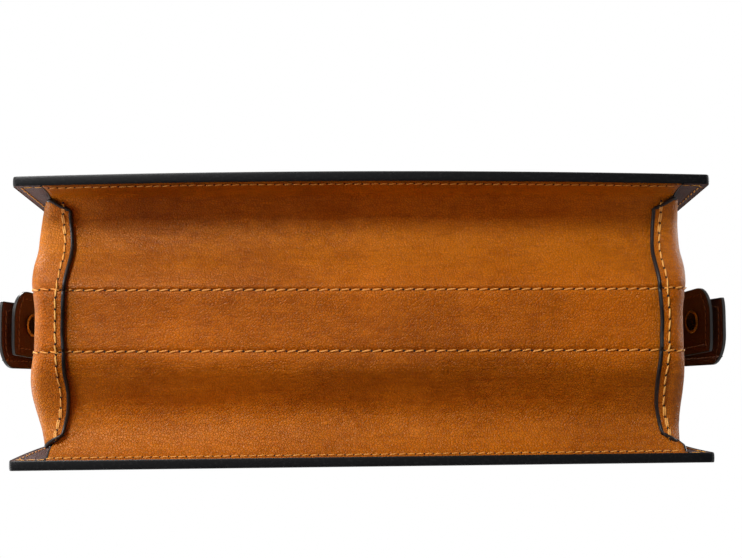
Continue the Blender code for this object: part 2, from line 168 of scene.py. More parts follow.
camera_data = bpy.data.cameras.new("camera")
camera_data.lens = 55.3
camera_data.sensor_width = 36
camera = bpy.data.objects.new("camera", camera_data)
camera_place = Vector((0.0049, 0.0120, -0.6484))
camera_aim = Vector((0.0055, -0.0234, 0))
looking = (camera_aim - camera_place).normalized()
ROLL = 0.0032
rightwards = Vector((1, ROLL, 0))
rightwards = (rightwards - looking * rightwards.dot(looking)).normalized()
upwards = rightwards.cross(looking)
camera.matrix_world = Matrix(
    [(rightwards[i], upwards[i], -looking[i], camera_place[i]) for i in range(3)] + [(0, 0, 0, 1)]
)
scene.collection.objects.link(camera)
scene.camera = camera

# --------------------------------------------------------------------------------------------------
# Panels: two stiff boards of saddle leather, each an outer leather and a thinner lining ply, glued and sewn
# flesh to flesh. Their edges are sanded round and painted black, and a row of waxed linen runs round them.
MM = 0.001
front_low, front_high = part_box("front_panel")
back_low, back_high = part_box("back_panel")
front_lining_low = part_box("front_lining")[0]
back_lining_low, back_lining_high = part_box("back_lining")
PANEL_WIDTH = front_high.x - front_low.x
PANEL_TALL = front_high.z
OUTER_PLY = back_high.y - back_low.y
PANEL_PLY = back_high.y - back_lining_low.y
LINING_PLY = back_lining_high.y - back_lining_low.y
LEAN_SLOPE = (front_high.y - front_low.y - OUTER_PLY) / PANEL_TALL
FRONT_Y = front_low.y
BACK_Y = back_high.y
EDGE_INSET = 4.2 * MM
PANEL_CORNER = 2.5 * MM
PAINT_MARGIN = 0.35 * MM
STITCH_PITCH = 6.1 * MM
FRONT_BOW = 2.6 * MM
BACK_SKEW = 1.8 * MM
BOW_HEIGHT = 75 * MM


def begun_material(name):
    """A new node material, with its tree, its shader and the object's own coordinates."""
    made = bpy.data.materials.new(name)
    made.use_nodes = True
    tree = made.node_tree
    spot = add(tree, "ShaderNodeTexCoord").outputs["Object"]
    return made, tree, tree.nodes["Principled BSDF"], spot

def dress(tree, shader, colour, height, strength, depth):
    """Gives the shader its colour, and relief of that depth from a height pattern."""
    tree.links.new(colour, shader.inputs["Base Color"])
    bump = add(tree, "ShaderNodeBump", {}, {"Height": height, "Strength": strength, "Distance": depth})
    tree.links.new(bump.outputs[0], shader.inputs["Normal"])

def saddle_leather(name, deep, light, grain_mm, gloss, wax, mottling=0.75):
    """Vegetable-tanned cowhide, glazed: its colour drifts over a hand's breadth and is mottled in between.
    Its grain is plates about grain_mm across with finer pores, creased lengthwise, under a tinted wax. The
    darker trim and tab leathers made with it are this leather with painted shade in their colour."""
    made, tree, shader, spot = begun_material(name)
    along = add(tree, "ShaderNodeMapping", {}, {"Vector": spot, "Scale": (0.16, 1.0, 1.0)}).outputs[0]
    clouds = {}
    for pattern, vector, wide_mm, detail, roughness, distortion in (
        ("drift", spot, 90, 3.0, 0.5, 0.0),
        ("mottle", spot, 7, 5.0, 0.65, 0.0),
        ("creases", along, 2.2, 4.0, 0.6, 0.8),
        ("pores", spot, 0.5, 2.0, 0.5, 0.0),
    ):
        inputs = {"Vector": vector, "Scale": 1 / (wide_mm * MM), "Detail": detail}
        inputs.update({"Roughness": roughness, "Distortion": distortion})
        clouds[pattern] = add(tree, "ShaderNodeTexNoise", {}, inputs).outputs["Fac"]
    jitter = add(tree, "ShaderNodeTexNoise", {}, {"Vector": spot, "Scale": 1 / (2.5 * MM)}).outputs["Color"]
    warped = add(tree, "ShaderNodeMix", {"data_type": "VECTOR"}, {0: 0.0008, 4: spot, 5: jitter}).outputs[1]
    plates = add(
        tree, "ShaderNodeTexVoronoi", {"feature": "DISTANCE_TO_EDGE"},
        {"Vector": warped, "Scale": 1 / (grain_mm * MM)},
    ).outputs["Distance"]
    plate_height = add(
        tree, "ShaderNodeMapRange", {"interpolation_type": "SMOOTHSTEP"}, {"Value": plates, "From Max": 0.2}
    ).outputs[0]
    tone = -0.30
    for pattern, weight in (("drift", 1.1), ("mottle", mottling), ("creases", 0.75)):
        parts = {0: clouds[pattern], 1: weight, 2: tone}
        tone = add(tree, "ShaderNodeMath", {"operation": "MULTIPLY_ADD"}, parts).outputs[0]
    dye = add(tree, "ShaderNodeMapRange", {}, {"Value": tone, "From Min": 0.44, "From Max": 1.22}).outputs[0]
    hide = add(
        tree, "ShaderNodeMix", {"data_type": "RGBA"}, {0: dye, 6: linear(deep), 7: linear(light)}
    ).outputs[2]
    valley = add(tree, "ShaderNodeMapRange", {}, {"Value": plate_height, "To Min": 0.70}).outputs[0]
    grey = add(tree, "ShaderNodeCombineColor", {}, {0: valley, 1: valley, 2: valley}).outputs[0]
    dyed = add(
        tree, "ShaderNodeMix", {"data_type": "RGBA", "blend_type": "MULTIPLY"}, {0: 1.0, 6: hide, 7: grey}
    ).outputs[2]
    worn = {"Value": clouds["mottle"], "From Min": 0.3, "From Max": 0.7}
    worn.update({"To Min": gloss - 0.05, "To Max": gloss + 0.08})
    sheen = add(tree, "ShaderNodeMapRange", {}, worn).outputs[0]
    tree.links.new(sheen, shader.inputs["Roughness"])
    relief = plate_height
    for pattern, weight in (("creases", 2.0), ("pores", 0.5)):
        parts = {0: clouds[pattern], 1: weight, 2: relief}
        relief = add(tree, "ShaderNodeMath", {"operation": "MULTIPLY_ADD"}, parts).outputs[0]
    dress(tree, shader, dyed, relief, 0.75, 0.24 * MM)
    shader.inputs["Specular Tint"].default_value = linear(wax)
    return made

tan_leather = saddle_leather("glazed_saddle_leather", "#7a3300", "#bd6c04", 1.5, 0.42, "#ffd9b0")
lining_leather = saddle_leather("dark_lining_leather", "#33201d", "#614440", 0.9, 0.55, "#ffffff")


def edge_paint():
    """Black acrylic edge paint over sanded leather: glossy, with the sanding's slight waves under it."""
    made, tree, shader, spot = begun_material("black_edge_paint")
    waves = add(
        tree, "ShaderNodeTexNoise", {}, {"Vector": spot, "Scale": 1 / (1.6 * MM), "Detail": 3.0}
    ).outputs["Fac"]
    rubbed = add(
        tree, "ShaderNodeMapRange", {}, {"Value": waves, "From Min": 0.55, "From Max": 0.8}
    ).outputs[0]
    colour = add(
        tree, "ShaderNodeMix", {"data_type": "RGBA"},
        {0: rubbed, 6: linear("#121214"), 7: linear("#2c2b2c")},
    ).outputs[2]
    shader.inputs["Roughness"].default_value = 0.36
    dress(tree, shader, colour, waves, 0.4, 0.15 * MM)
    return made


black_paint = edge_paint()


def waxed_thread(name, soiled, clean, between):
    """Waxed linen thread, three strands laid up: the strands show as slanting ridges along each stitch, with
    painted shade in the grooves between them. The dark thread on the side tabs is painted shade as well.
    """
    made, tree, shader, spot = begun_material(name)
    own_map = add(tree, "ShaderNodeTexCoord").outputs["UV"]
    slanted = add(
        tree, "ShaderNodeMapping", {}, {"Vector": own_map, "Rotation": (0, 0, radians(40))}
    ).outputs[0]
    strands = add(
        tree, "ShaderNodeTexWave", {}, {"Vector": slanted, "Scale": 1.6, "Distortion": 0.5}
    ).outputs["Fac"]
    soiling = add(
        tree, "ShaderNodeTexNoise", {}, {"Vector": spot, "Scale": 1 / (12 * MM), "Detail": 2.0}
    ).outputs["Fac"]
    lit = add(
        tree, "ShaderNodeMix", {"data_type": "RGBA"},
        {0: soiling, 6: linear(soiled), 7: linear(clean)},
    ).outputs[2]
    # Painted shade: the between colour is laid in the grooves between the strands, where shade falls.
    shaded = add(
        tree, "ShaderNodeMix", {"data_type": "RGBA"}, {0: strands, 6: linear(between), 7: lit}
    ).outputs[2]
    shader.inputs["Roughness"].default_value = 0.5
    dress(tree, shader, shaded, strands, 0.5, 0.08 * MM)
    return made


# The third colour is painted shade for the grooves between the strands.
linen_thread = waxed_thread("waxed_linen_thread", "#dd9a3c", "#ffcb72", "#c98a34")
# Painted shade for awl holes: a dark, dull colour standing in for the shadow down each hole.
hole_shade_paint = bpy.data.materials.new("painted_hole_shade")
hole_shade_paint.use_nodes = True
hole_shader = hole_shade_paint.node_tree.nodes["Principled BSDF"]
hole_shader.inputs["Base Color"].default_value = linear("#1c0b03")
hole_shader.inputs["Roughness"].default_value = 0.8


def bench_piece(name, made, materials, body=None, smooth=35):
    """A mesh object at the origin from the bmesh, riding on that body."""
    mesh = bpy.data.meshes.new(name)
    made.to_mesh(mesh)
    made.free()
    for material in materials:
        mesh.materials.append(material)
    mesh.shade_smooth()
    mesh.set_sharp_from_angle(angle=radians(smooth))
    obj = bpy.data.objects.new(name, mesh)
    scene.collection.objects.link(obj)
    if isinstance(body, str):
        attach(obj, body)
    elif body:
        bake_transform(obj)
    return obj


def lofted(rings, closed=False):
    """Faces between one ring of points and the next, its ends capped unless the rings close up."""
    made = bmesh.new()
    rows = [[made.verts.new(point) for point in ring] for ring in rings]
    pairs = list(zip(rows, rows[1:])) + ([(rows[-1], rows[0])] if closed else [])
    for low, high in pairs:
        for i in range(len(low)):
            j = (i + 1) % len(low)
            made.faces.new((low[i], low[j], high[j], high[i]))
    if not closed:
        made.faces.new(rows[0])
        made.faces.new(rows[-1][::-1])
    bmesh.ops.recalc_face_normals(made, faces=made.faces)
    return made


def painted_edge(name, stations, half_ply, body, closed=False, proud=0.5 * MM, swell=0.12 * MM):
    """The black bead on a cut edge. A station is a point on the edge at mid-thickness, the way out of the
    leather, and the way across its thickness."""
    rings = []
    for point, out, across in stations:
        ring = [
            point + out * (proud * cos(angle)) + across * ((half_ply + swell) * sin(angle))
            for angle in (pi * (step / 8 - 0.5) for step in range(9))
        ]
        ring += [point - out * 0.6 * MM + across * half_ply * side for side in (0.95, -0.95)]
        rings.append(ring)
    return bench_piece(name, lofted(rings, closed), [black_paint], body, 60)


def bead_shape(long_half, wide_half, high_half, slices, sides):
    """The points and faces of an ellipsoid lying along x."""
    made = bmesh.new()
    bmesh.ops.create_uvsphere(
        made, u_segments=sides, v_segments=slices, radius=1,
        matrix=Matrix.Diagonal((long_half, wide_half, high_half, 1)) @ Matrix.Rotation(pi / 2, 4, "Y"),
    )
    made.verts.index_update()
    points = [v.co.copy() for v in made.verts]
    faces = [[v.index for v in f.verts] for f in made.faces]
    made.free()
    return points, faces


def stamp(made, shape, place):
    """Adds the shape to the bmesh at that place, with each point's turn and length along x as its UV."""
    points, faces = shape
    uv = made.loops.layers.uv.verify()
    longest = max(p.x for p in points)
    new = [made.verts.new(place @ p) for p in points]
    for face in faces:
        added = made.faces.new([new[i] for i in face])
        for loop, i in zip(added.loops, face):
            p = points[i]
            loop[uv].uv = (p.x / longest * 1.5, (p.z + p.y) * 400)


def walk(line, pitch, start=0.5):
    """(point, way along, way out) at each pitch along a line of (point, way out)."""
    walked = []
    travelled = 0.0
    due = pitch * start
    for (a, out_a), (b, out_b) in zip(line, line[1:]):
        step = (b - a).length
        while step > 0 and due <= travelled + step:
            share = (due - travelled) / step
            walked.append((a.lerp(b, share), (b - a).normalized(), out_a.lerp(out_b, share).normalized()))
            due += pitch
        travelled += step
    return walked


def stitch_row(
    name, line, body, pitch=STITCH_PITCH, slant=9, gauge=1.0 * MM, doubled=0, material=linen_thread
):
    """A sewn row: slanting stitches with a dark dot of painted hole shade between each two, and doubled ones
    at the ends.
    """
    thread = bmesh.new()
    bead = bead_shape(pitch * 0.45, gauge * 0.5, gauge * 0.36, 6, 6)
    walked = walk(line, pitch)
    for index, (point, along, out) in enumerate(walked):
        lay = Matrix.Rotation(radians(slant + 5 * noise.noise(point * 700)), 3, out) @ along
        across = out.cross(lay)
        axes = Matrix((lay, across, out)).transposed().to_4x4()
        at_end = index < doubled or index >= len(walked) - doubled
        wander = 0.25 * MM * noise.noise(point * 1100)
        for side in ((-0.4, 0.4) if at_end else (0,)):
            centre = point + out * (gauge * 0.22) + across * (side * gauge + wander)
            stamp(thread, bead, Matrix.Translation(centre) @ axes)
    bench_piece(name, thread, [material], body, 180)
    # Each hole is a flat dark dot on the surface: painted shade for the hollow of the awl hole.
    holes = bmesh.new()
    dimple = bead_shape(0.68 * gauge, 0.62 * gauge, 0.16 * MM, 4, 6)
    for point, along, out in walk(line, pitch, 0.0):
        axes = Matrix((along, out.cross(along), out)).transposed().to_4x4()
        stamp(holes, dimple, Matrix.Translation(point) @ axes)
    bench_piece(name + "_holes", holes, [hole_shade_paint], body, 180)


def rounded_outline(half_width, low, high, radius, steps=5):
    """(point, way out) round a rectangle in x and z with rounded corners."""
    outline = []
    corners = (
        (half_width - radius, low + radius, -pi / 2), (half_width - radius, high - radius, 0),
        (-half_width + radius, high - radius, pi / 2), (-half_width + radius, low + radius, pi),
    )
    for x, z, first in corners:
        for step in range(steps + 1):
            angle = first + pi / 2 * step / steps
            way = Vector((cos(angle), 0, sin(angle)))
            outline.append((Vector((x, 0, z)) + way * radius, way))
    return outline


def divided(outline, longest):
    """The closed outline with its long straights divided."""
    fine = []
    for (a, out_a), (b, out_b) in zip(outline, outline[1:] + outline[:1]):
        pieces = max(1, int((b - a).length / longest))
        fine += [(a.lerp(b, i / pieces), out_a.lerp(out_b, i / pieces).normalized()) for i in range(pieces)]
    return fine


def panel_give(panel, x, z):
    """How far the panel's foot has moved from flat: the front bows out, and the back sits slightly askew."""
    low = max(1 - z / BOW_HEIGHT, 0) ** 2
    share = x / (PANEL_WIDTH / 2)
    return low * (-FRONT_BOW * (1 - share * share) if panel == "front" else -BACK_SKEW * share)


def panel_ply(name, panel, y_at_ground, ply, material, node):
    """One ply: a board with rounded corners, divided so that its foot can bow."""
    made = bmesh.new()
    bmesh.ops.create_cube(made, size=1)
    size = Vector((PANEL_WIDTH - 2 * PAINT_MARGIN, ply, PANEL_TALL - 2 * PAINT_MARGIN))
    bmesh.ops.scale(made, vec=size, verts=made.verts)
    through = [e for e in made.edges if abs(e.verts[0].co.y - e.verts[1].co.y) > ply / 2]
    bmesh.ops.bevel(
        made, geom=through, offset=PANEL_CORNER, segments=5, profile=0.5, affect="EDGES", material=-1
    )
    bmesh.ops.translate(made, vec=(0, y_at_ground + ply / 2, PANEL_TALL / 2), verts=made.verts)
    cuts = [((x * 25 * MM, 0, 0), (1, 0, 0)) for x in range(-7, 8)]
    cuts += [((0, 0, z * 15 * MM), (0, 0, 1)) for z in range(1, 6)]
    for place, way in cuts:
        bmesh.ops.bisect_plane(
            made, geom=made.verts[:] + made.edges[:] + made.faces[:], plane_co=place, plane_no=way
        )
    slope = LEAN_SLOPE if panel == "front" else 0
    for vertex in made.verts:
        vertex.co.y += slope * vertex.co.z + panel_give(panel, vertex.co.x, vertex.co.z)
    board = bench_piece(name, made, [material], "root")
    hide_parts(node)


for panel, ply_name, near_y, ply, material, slot in (
    ("front", "panel", FRONT_Y, OUTER_PLY, tan_leather, "tan_leather"),
    ("back", "panel", back_low.y, OUTER_PLY, tan_leather, "tan_leather"),
    ("front", "lining", front_lining_low.y, LINING_PLY, lining_leather, "lining_leather"),
    ("back", "lining", back_lining_low.y, LINING_PLY, lining_leather, "lining_leather"),
):
    panel_ply(f"{panel}_{ply_name}_leather", panel, near_y, ply, material, f"{panel}_{ply_name}")

def panel_rim(panel, inset, y_at_ground, slope):
    """(point, way out) round the panel that far in from its edge, at that y where it meets the ground."""
    outline = rounded_outline(PANEL_WIDTH / 2 - inset, inset, PANEL_TALL - inset, PANEL_CORNER)
    rim = []
    for point, way in divided(outline, 12 * MM):
        y = y_at_ground + slope * point.z + panel_give(panel, point.x, point.z)
        rim.append((Vector((point.x, y, point.z)), way))
    return rim

for panel, middle_y, slope, outer_way in (
    ("front", FRONT_Y + PANEL_PLY / 2, LEAN_SLOPE, -1), ("back", BACK_Y - PANEL_PLY / 2, 0, 1)
):
    through = Vector((0, 1, 0))
    rim = [(point, way, through) for point, way in panel_rim(panel, PAINT_MARGIN, middle_y, slope)]
    painted_edge(
        f"{panel}_panel_edge_paint", rim, PANEL_PLY / 2, "root", closed=True, proud=PAINT_MARGIN,
        swell=0.3 * MM,
    )
    for face, way_out in (("outer", outer_way), ("inner", -outer_way)):
        face_y = middle_y + way_out * (PANEL_PLY / 2 + 0.05 * MM)
        sewn = [(point, through * way_out) for point, _ in panel_rim(panel, EDGE_INSET, face_y, slope)]
        stitch_row(f"{panel}_panel_{face}_stitching", sewn + sewn[:1], "root", gauge=0.9 * MM)

# --------------------------------------------------------------------------------------------------
# Bottom gusset: one length of saddle leather, its long edges sewn up the inside of the panels. It is creased
# up into the bag on each side of a flat strip, which the dividers are sewn to in two lengthwise rows.
GUSSET_PLY = 2.2 * MM
gusset_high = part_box("bottom_gusset")[1]
ROW_Y = 17.5 * MM
STRIP_LEVEL = 3.0 * MM
SKIVED_PLY = 0.8 * MM
FRONT_FLANGE = FRONT_Y + PANEL_PLY + SKIVED_PLY
BACK_FLANGE = BACK_Y - PANEL_PLY - SKIVED_PLY


def smooth_path(points, steps):
    """A Catmull-Rom curve through the points."""
    path = []
    ends = [points[0] * 2 - points[1], *points, points[-1] * 2 - points[-2]]
    for a, b, c, d in zip(ends, ends[1:], ends[2:], ends[3:]):
        for step in range(steps):
            t = step / steps
            path.append(
                0.5 * (2 * b + (c - a) * t + (2 * a - 5 * b + 4 * c - d) * t**2
                       + (3 * b - a - 3 * c + d) * t**3)
            )
    path.append(points[-1])
    return path


base_section = smooth_path(
    [
        Vector((FRONT_FLANGE, 0.9 * MM)),
        Vector((FRONT_FLANGE + 1.4 * MM, 12.0 * MM)),
        Vector((FRONT_FLANGE + 5.0 * MM, 21.0 * MM)),
        Vector((-58.5 * MM, 25.6 * MM)),
        Vector((-44.0 * MM, 19.5 * MM)),
        Vector((-29.0 * MM, 8.4 * MM)),
        Vector((-20.5 * MM, 3.1 * MM)),
        Vector((-ROW_Y, STRIP_LEVEL + 0.5 * MM)),
        Vector((-14.0 * MM, STRIP_LEVEL - 0.3 * MM)),
        Vector((0.0, STRIP_LEVEL + 0.2 * MM)),
        Vector((14.0 * MM, STRIP_LEVEL - 0.3 * MM)),
        Vector((ROW_Y, STRIP_LEVEL + 0.5 * MM)),
        Vector((21.5 * MM, 3.0 * MM)),
        Vector((29.5 * MM, 4.6 * MM)),
        Vector((39.0 * MM, 9.2 * MM)),
        Vector((50.0 * MM, 14.0 * MM)),
        Vector((60.0 * MM, 14.6 * MM)),
        Vector((69.0 * MM, 10.6 * MM)),
        Vector((BACK_FLANGE - 0.4 * MM, 5.0 * MM)),
        Vector((BACK_FLANGE, 0.9 * MM)),
    ],
    7,
)


def limited(value, low, high):
    """Where the value lies between low and high, from 0 to 1."""
    return min(max((value - low) / (high - low), 0), 1)


def eased(value, low, high):
    """The same share, eased in and out."""
    share = limited(value, low, high)
    return share * share * (3 - 2 * share)


def hand_worked(x, y, amount):
    """How far the leather wanders from its drawn section, as hand-creased leather does."""
    return amount * (
        noise.noise(Vector((x * 14, y * 30, 1.7))) + 0.5 * noise.noise(Vector((x * 37, y * 70, 5.1)))
    )


def base_point(x, section_point):
    """The bottom gusset's grain side at x, for this point of its section."""
    y, z = section_point
    free = limited(abs(y), ROW_Y, ROW_Y + 12 * MM)
    clear = limited(min(y - FRONT_FLANGE, BACK_FLANGE - y), 0, 9 * MM)
    z += hand_worked(x, y, 1.4 * MM) * free * clear
    y += panel_give("front", x, z) * limited(-y, 50 * MM, 72 * MM)
    y += panel_give("back", x, z) * limited(y, 50 * MM, 72 * MM)
    return Vector((x, y, z))


FLANGE_REACH = {
    ("left", "front"): 183.3 * MM, ("right", "front"): 184.3 * MM,
    ("left", "back"): 179.2 * MM, ("right", "back"): 184.5 * MM,
}


def base_reach(side, y):
    """How far along x the bottom gusset runs: further at its flanges than under the side gussets."""
    widest = FLANGE_REACH["left" if side < 0 else "right", "front" if y < 0 else "back"]
    return gusset_high.x + (widest - gusset_high.x) * limited(abs(y), 67 * MM, 73 * MM)


base_bm = bmesh.new()
BASE_COLUMNS = 150
base_rows = []
for column in range(BASE_COLUMNS + 1):
    share = 2 * column / BASE_COLUMNS - 1
    base_rows.append([base_bm.verts.new(base_point(share * base_reach(share, p.x), p)) for p in base_section])
for left, right in zip(base_rows, base_rows[1:]):
    for i in range(len(left) - 1):
        base_bm.faces.new((left[i], left[i + 1], right[i + 1], right[i]))
base_leather = bench_piece("bottom_gusset_leather", base_bm, [tan_leather, black_paint], "root")


def give_ply(obj, thickness, offset=-1, painted=1):
    """Thickens a sheet away from its faces, with the cut edges painted."""
    ply = obj.modifiers.new("ply", "SOLIDIFY")
    ply.thickness = thickness
    ply.offset = offset
    ply.material_offset_rim = painted


def way_at(points, i):
    """The way along a line of points as it passes this one."""
    return (points[min(i + 1, len(points) - 1)] - points[max(i - 1, 0)]).normalized()

give_ply(base_leather, GUSSET_PLY, painted=0)
for end in (-1, 1):
    rim = []
    for i, point in enumerate(base_section):
        way = way_at(base_section, i)
        through = Vector((0, way.y, -way.x))
        here = base_point(end * base_reach(end, point.x), point) - through * GUSSET_PLY / 2
        rim.append((here, Vector((end, 0, 0)), through))
    painted_edge(
        f"bottom_gusset_end_paint_{'left' if end < 0 else 'right'}", rim, GUSSET_PLY / 2, "root",
        proud=1.0 * MM, swell=0.25 * MM,
    )
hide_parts("bottom_gusset")

FLANGE_ROW_Z = 2.6 * MM
for flange, flange_y, way in (("front", FRONT_FLANGE, 1), ("back", BACK_FLANGE, -1)):
    flange_row = []
    for step in range(41):
        x = (gusset_high.x + 2 * MM) * (step / 20 - 1)
        y = flange_y + way * 0.5 * MM + panel_give(flange, x, FLANGE_ROW_Z)
        y += LEAN_SLOPE * FLANGE_ROW_Z if flange == "front" else 0
        flange_row.append((Vector((x, y, FLANGE_ROW_Z)), Vector((0, way, -1)).normalized()))
    stitch_row(f"{flange}_flange_stitching", flange_row, "root", pitch=5 * MM, gauge=0.85 * MM)

# --------------------------------------------------------------------------------------------------
# Side gussets: a length of saddle leather up each side, creased inwards in front of and behind the divider
# rows. Each turns under the base, where its pared tongue is sewn over the bottom gusset and painted.
TURN_RADIUS = 8.5 * MM
TONGUE_END = 170.6 * MM
SIDE_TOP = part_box("side_gusset_left")[1].z
SIDE_AT_TOP = 186 * MM
SIDE_GAP = PANEL_PLY + 0.6 * MM
FRONT_FOLD = 16 * MM
BACK_FOLD = 13 * MM
FOLD_SPREAD = 0.165
TONGUE_GAP = 2.7 * MM
TAB_ROOM = 0.9 * MM
EDGE_STEP = 0.9 * MM
SECTION_HALF = 66.5 * MM
SPLAY = 6.7 * MM
SPLAY_RUN = 11.5 * MM
FRONT_PUFF = 2.8 * MM
FRONT_SPREAD = 4.6 * MM
FOOT = {
    -1: {"reach": 188.0 * MM, "back_puff": 3.2 * MM, "corner": 5.2 * MM},
    1: {"reach": 185.0 * MM, "back_puff": 1.0 * MM, "corner": 1.6 * MM},
}


def base_under(y):
    """The base section's point at this y, and its downward normal."""
    for a, b in zip(base_section, base_section[1:]):
        if a.x <= y <= b.x and b.x > a.x:
            way = (b - a).normalized()
            return a.lerp(b, (y - a.x) / (b.x - a.x)), Vector((way.y, -way.x))
    return base_section[-1], Vector((-1, 0))


def bump_at(across, middle, spread):
    """1 at the middle, easing to 0 where it is spread away."""
    away = min(abs(across - middle) / spread, 1)
    return cos(away * pi / 2) ** 2


def side_grain(side, across, run):
    """The side gusset's grain side: across from front to back, and run from the tongue's end upwards."""
    foot = FOOT[side]
    tongue_end = TONGUE_END + 0.9 * MM * cos(4 * pi * across) + 0.8 * MM * cos(2 * pi * across)
    tongue_end += 0.5 * MM * noise.noise(Vector((across * 9, side, 3))) + (0.8 * MM if side > 0 else 0)
    tongue_end -= 1.7 * MM * bump_at(across, 0.85, 0.2) + 0.8 * MM * bump_at(across, 0.2, 0.14)
    reach = foot["reach"] + FRONT_PUFF * bump_at(across, 0.27, 0.2)
    reach += foot["back_puff"] * bump_at(across, 0.79, 0.2)
    reach -= foot["corner"] * (1 - limited(min(across, 1 - across), 0, 0.16)) ** 2
    reach += FRONT_SPREAD * (1 - eased(across, 0.05, 0.24))
    turn_start = reach - TURN_RADIUS
    tongue_run = turn_start - tongue_end
    off_middle = 2 * across - 1
    splay = SPLAY * limited(run, 0, SPLAY_RUN) ** 1.3 * limited(abs(off_middle), 0.7, 1)
    section_y = SECTION_HALF * off_middle + (splay if off_middle > 0 else -splay)
    under, down = base_under(section_y)
    y = section_y + down.x * TONGUE_GAP
    level = under.y + down.y * TONGUE_GAP
    if run <= tongue_run:
        return Vector((side * (tongue_end + run), y, level))
    turn_run = TURN_RADIUS * pi / 2
    angle = min((run - tongue_run) / turn_run, 1) * pi / 2
    x = turn_start + TURN_RADIUS * sin(angle)
    z = level + TURN_RADIUS * (1 - cos(angle))
    climbed = run - tongue_run - turn_run
    if climbed > 0:
        whole = full_run(side) - tongue_run - turn_run
        z += (SIDE_TOP - z) * climbed / whole
        settled = eased(z, level + TURN_RADIUS, 65 * MM)
        x += (SIDE_AT_TOP - reach) * settled
        x -= FRONT_FOLD * fold_growth(z) * bump_at(across, 0.19, FOLD_SPREAD)
        x -= BACK_FOLD * fold_growth(z) * bump_at(across, 0.81, FOLD_SPREAD)
        x += hand_worked(z * 2 + side, across * 0.3, 1.0 * MM) * (1 - settled)
        near = FRONT_Y + SIDE_GAP + z * LEAN_SLOPE
        far = BACK_Y - SIDE_GAP
        y += (near + (far - near) * across - y) * eased(z, level + TURN_RADIUS, level + 40 * MM)
    return Vector((side * x, y, z))


def fold_growth(height):
    """How much of a side fold's depth it has at this height."""
    return eased(height, 35 * MM, 125 * MM)


def full_run(side):
    """The run from the tongue's end to the gusset's top edge."""
    return FOOT[side]["reach"] - TURN_RADIUS - TONGUE_END + TURN_RADIUS * pi / 2 + SIDE_TOP - 12 * MM


def side_line(side, across, first, last, lift=0.1 * MM, steps=160):
    """A line up the side gusset's grain side with the way out of it, for a sewn row."""
    line = []
    for step in range(steps + 1):
        run = first + (last - first) * step / steps
        here = side_grain(side, across, run)
        on = side_grain(side, across, run + 1 * MM) - side_grain(side, across, max(run - 1 * MM, 0))
        beside = side_grain(side, across + 0.01, run) - side_grain(side, across - 0.01, run)
        out = on.cross(beside).normalized() * -side
        line.append((here + out * lift, out))
    return line


HANDS = (("left", -1), ("right", 1))
SIDE_COLUMNS = 72
ROW_SHARE = ROW_Y / (2 * SECTION_HALF)
ROW_ACROSS = (0.5 - ROW_SHARE, 0.5 + ROW_SHARE)
for hand, side in HANDS:
    wrap = bmesh.new()
    low_rows = [1.1 * MM * i for i in range(28)]
    high_rows = [low_rows[-1] + (full_run(side) - low_rows[-1]) * i / 56 for i in range(1, 57)]
    rows = [
        [wrap.verts.new(side_grain(side, column / SIDE_COLUMNS, run)) for column in range(SIDE_COLUMNS + 1)]
        for run in low_rows + high_rows
    ]
    for low, high in zip(rows, rows[1:]):
        for i in range(SIDE_COLUMNS):
            corners = (low[i], low[i + 1], high[i + 1], high[i])
            wrap.faces.new(corners if side > 0 else corners[::-1])
    leather = bench_piece(f"side_gusset_leather_{hand}", wrap, [tan_leather, black_paint], "root")
    give_ply(leather, GUSSET_PLY)
    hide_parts(f"side_gusset_{hand}")
    seam = [
        side_line(side, 0.012 + 0.976 * step / 100, 3.8 * MM, 4.0 * MM, steps=1)[0] for step in range(101)
    ]
    for first, second, end in ((seam[0], seam[1], 0), (seam[-1], seam[-2], len(seam) + 1)):
        beyond = first[0] + (first[0] - second[0]).normalized() * 4.5 * MM - first[1] * GUSSET_PLY * 0.6
        seam.insert(end, (beyond, first[1]))
    stitch_row(
        f"tongue_seam_{hand}", seam, "root", pitch=6.6 * MM, slant=-5 * side, gauge=1.15 * MM, doubled=3
    )
    for row, across in zip(("front", "rear"), ROW_ACROSS):
        sewn = []
        for here, out in side_line(side, across, 1.5 * MM, full_run(side)):
            behind_tab = eased(here.z, 165 * MM, 175 * MM) * (1 - eased(here.z, 212 * MM, 222 * MM))
            sewn.append((here - out * TAB_ROOM * behind_tab, out))
        stitch_row(f"{row}_row_{hand}", sewn, "root", slant=10 * side, gauge=1.1 * MM)
for row, y in (("front", -ROW_Y), ("rear", ROW_Y)):
    sewn = []
    for step in range(61):
        x = (TONGUE_END + 0.5 * MM) * (step / 30 - 1)
        sewn.append((Vector((x, y, base_under(y)[0].y - 0.1 * MM)), Vector((0, 0, -1))))
    stitch_row(f"{row}_row_base", sewn, "root", slant=10, gauge=1.1 * MM)
for hand, side in HANDS:
    rim = []
    for step in range(91):
        across = step / 90
        here = side_grain(side, across, 0)
        beside = side_grain(side, min(across + 0.01, 1), 0) - side_grain(side, max(across - 0.01, 0), 0)
        on = side_grain(side, across, 1 * MM) - here
        through = on.cross(beside).normalized() * side
        rim.append((here + through * GUSSET_PLY * 0.42, -on.normalized(), through))
    for step in range(1, 16):
        run = EDGE_STEP * step
        across_end = [(side_grain(side, end, run), end) for end in (0, 1)]
        for (here, end), into in zip(across_end, (0, len(rim))):
            beside = side_grain(side, abs(end - 0.01), run) - here
            on = side_grain(side, end, run + EDGE_STEP) - here
            through = on.cross(beside).normalized() * side * (-1 if end else 1)
            rim.insert(into, (here + through * GUSSET_PLY * 0.42, -beside.normalized(), through))
    painted_edge(f"tongue_edge_paint_{hand}", rim, GUSSET_PLY * 0.5, "root", proud=1.4 * MM)

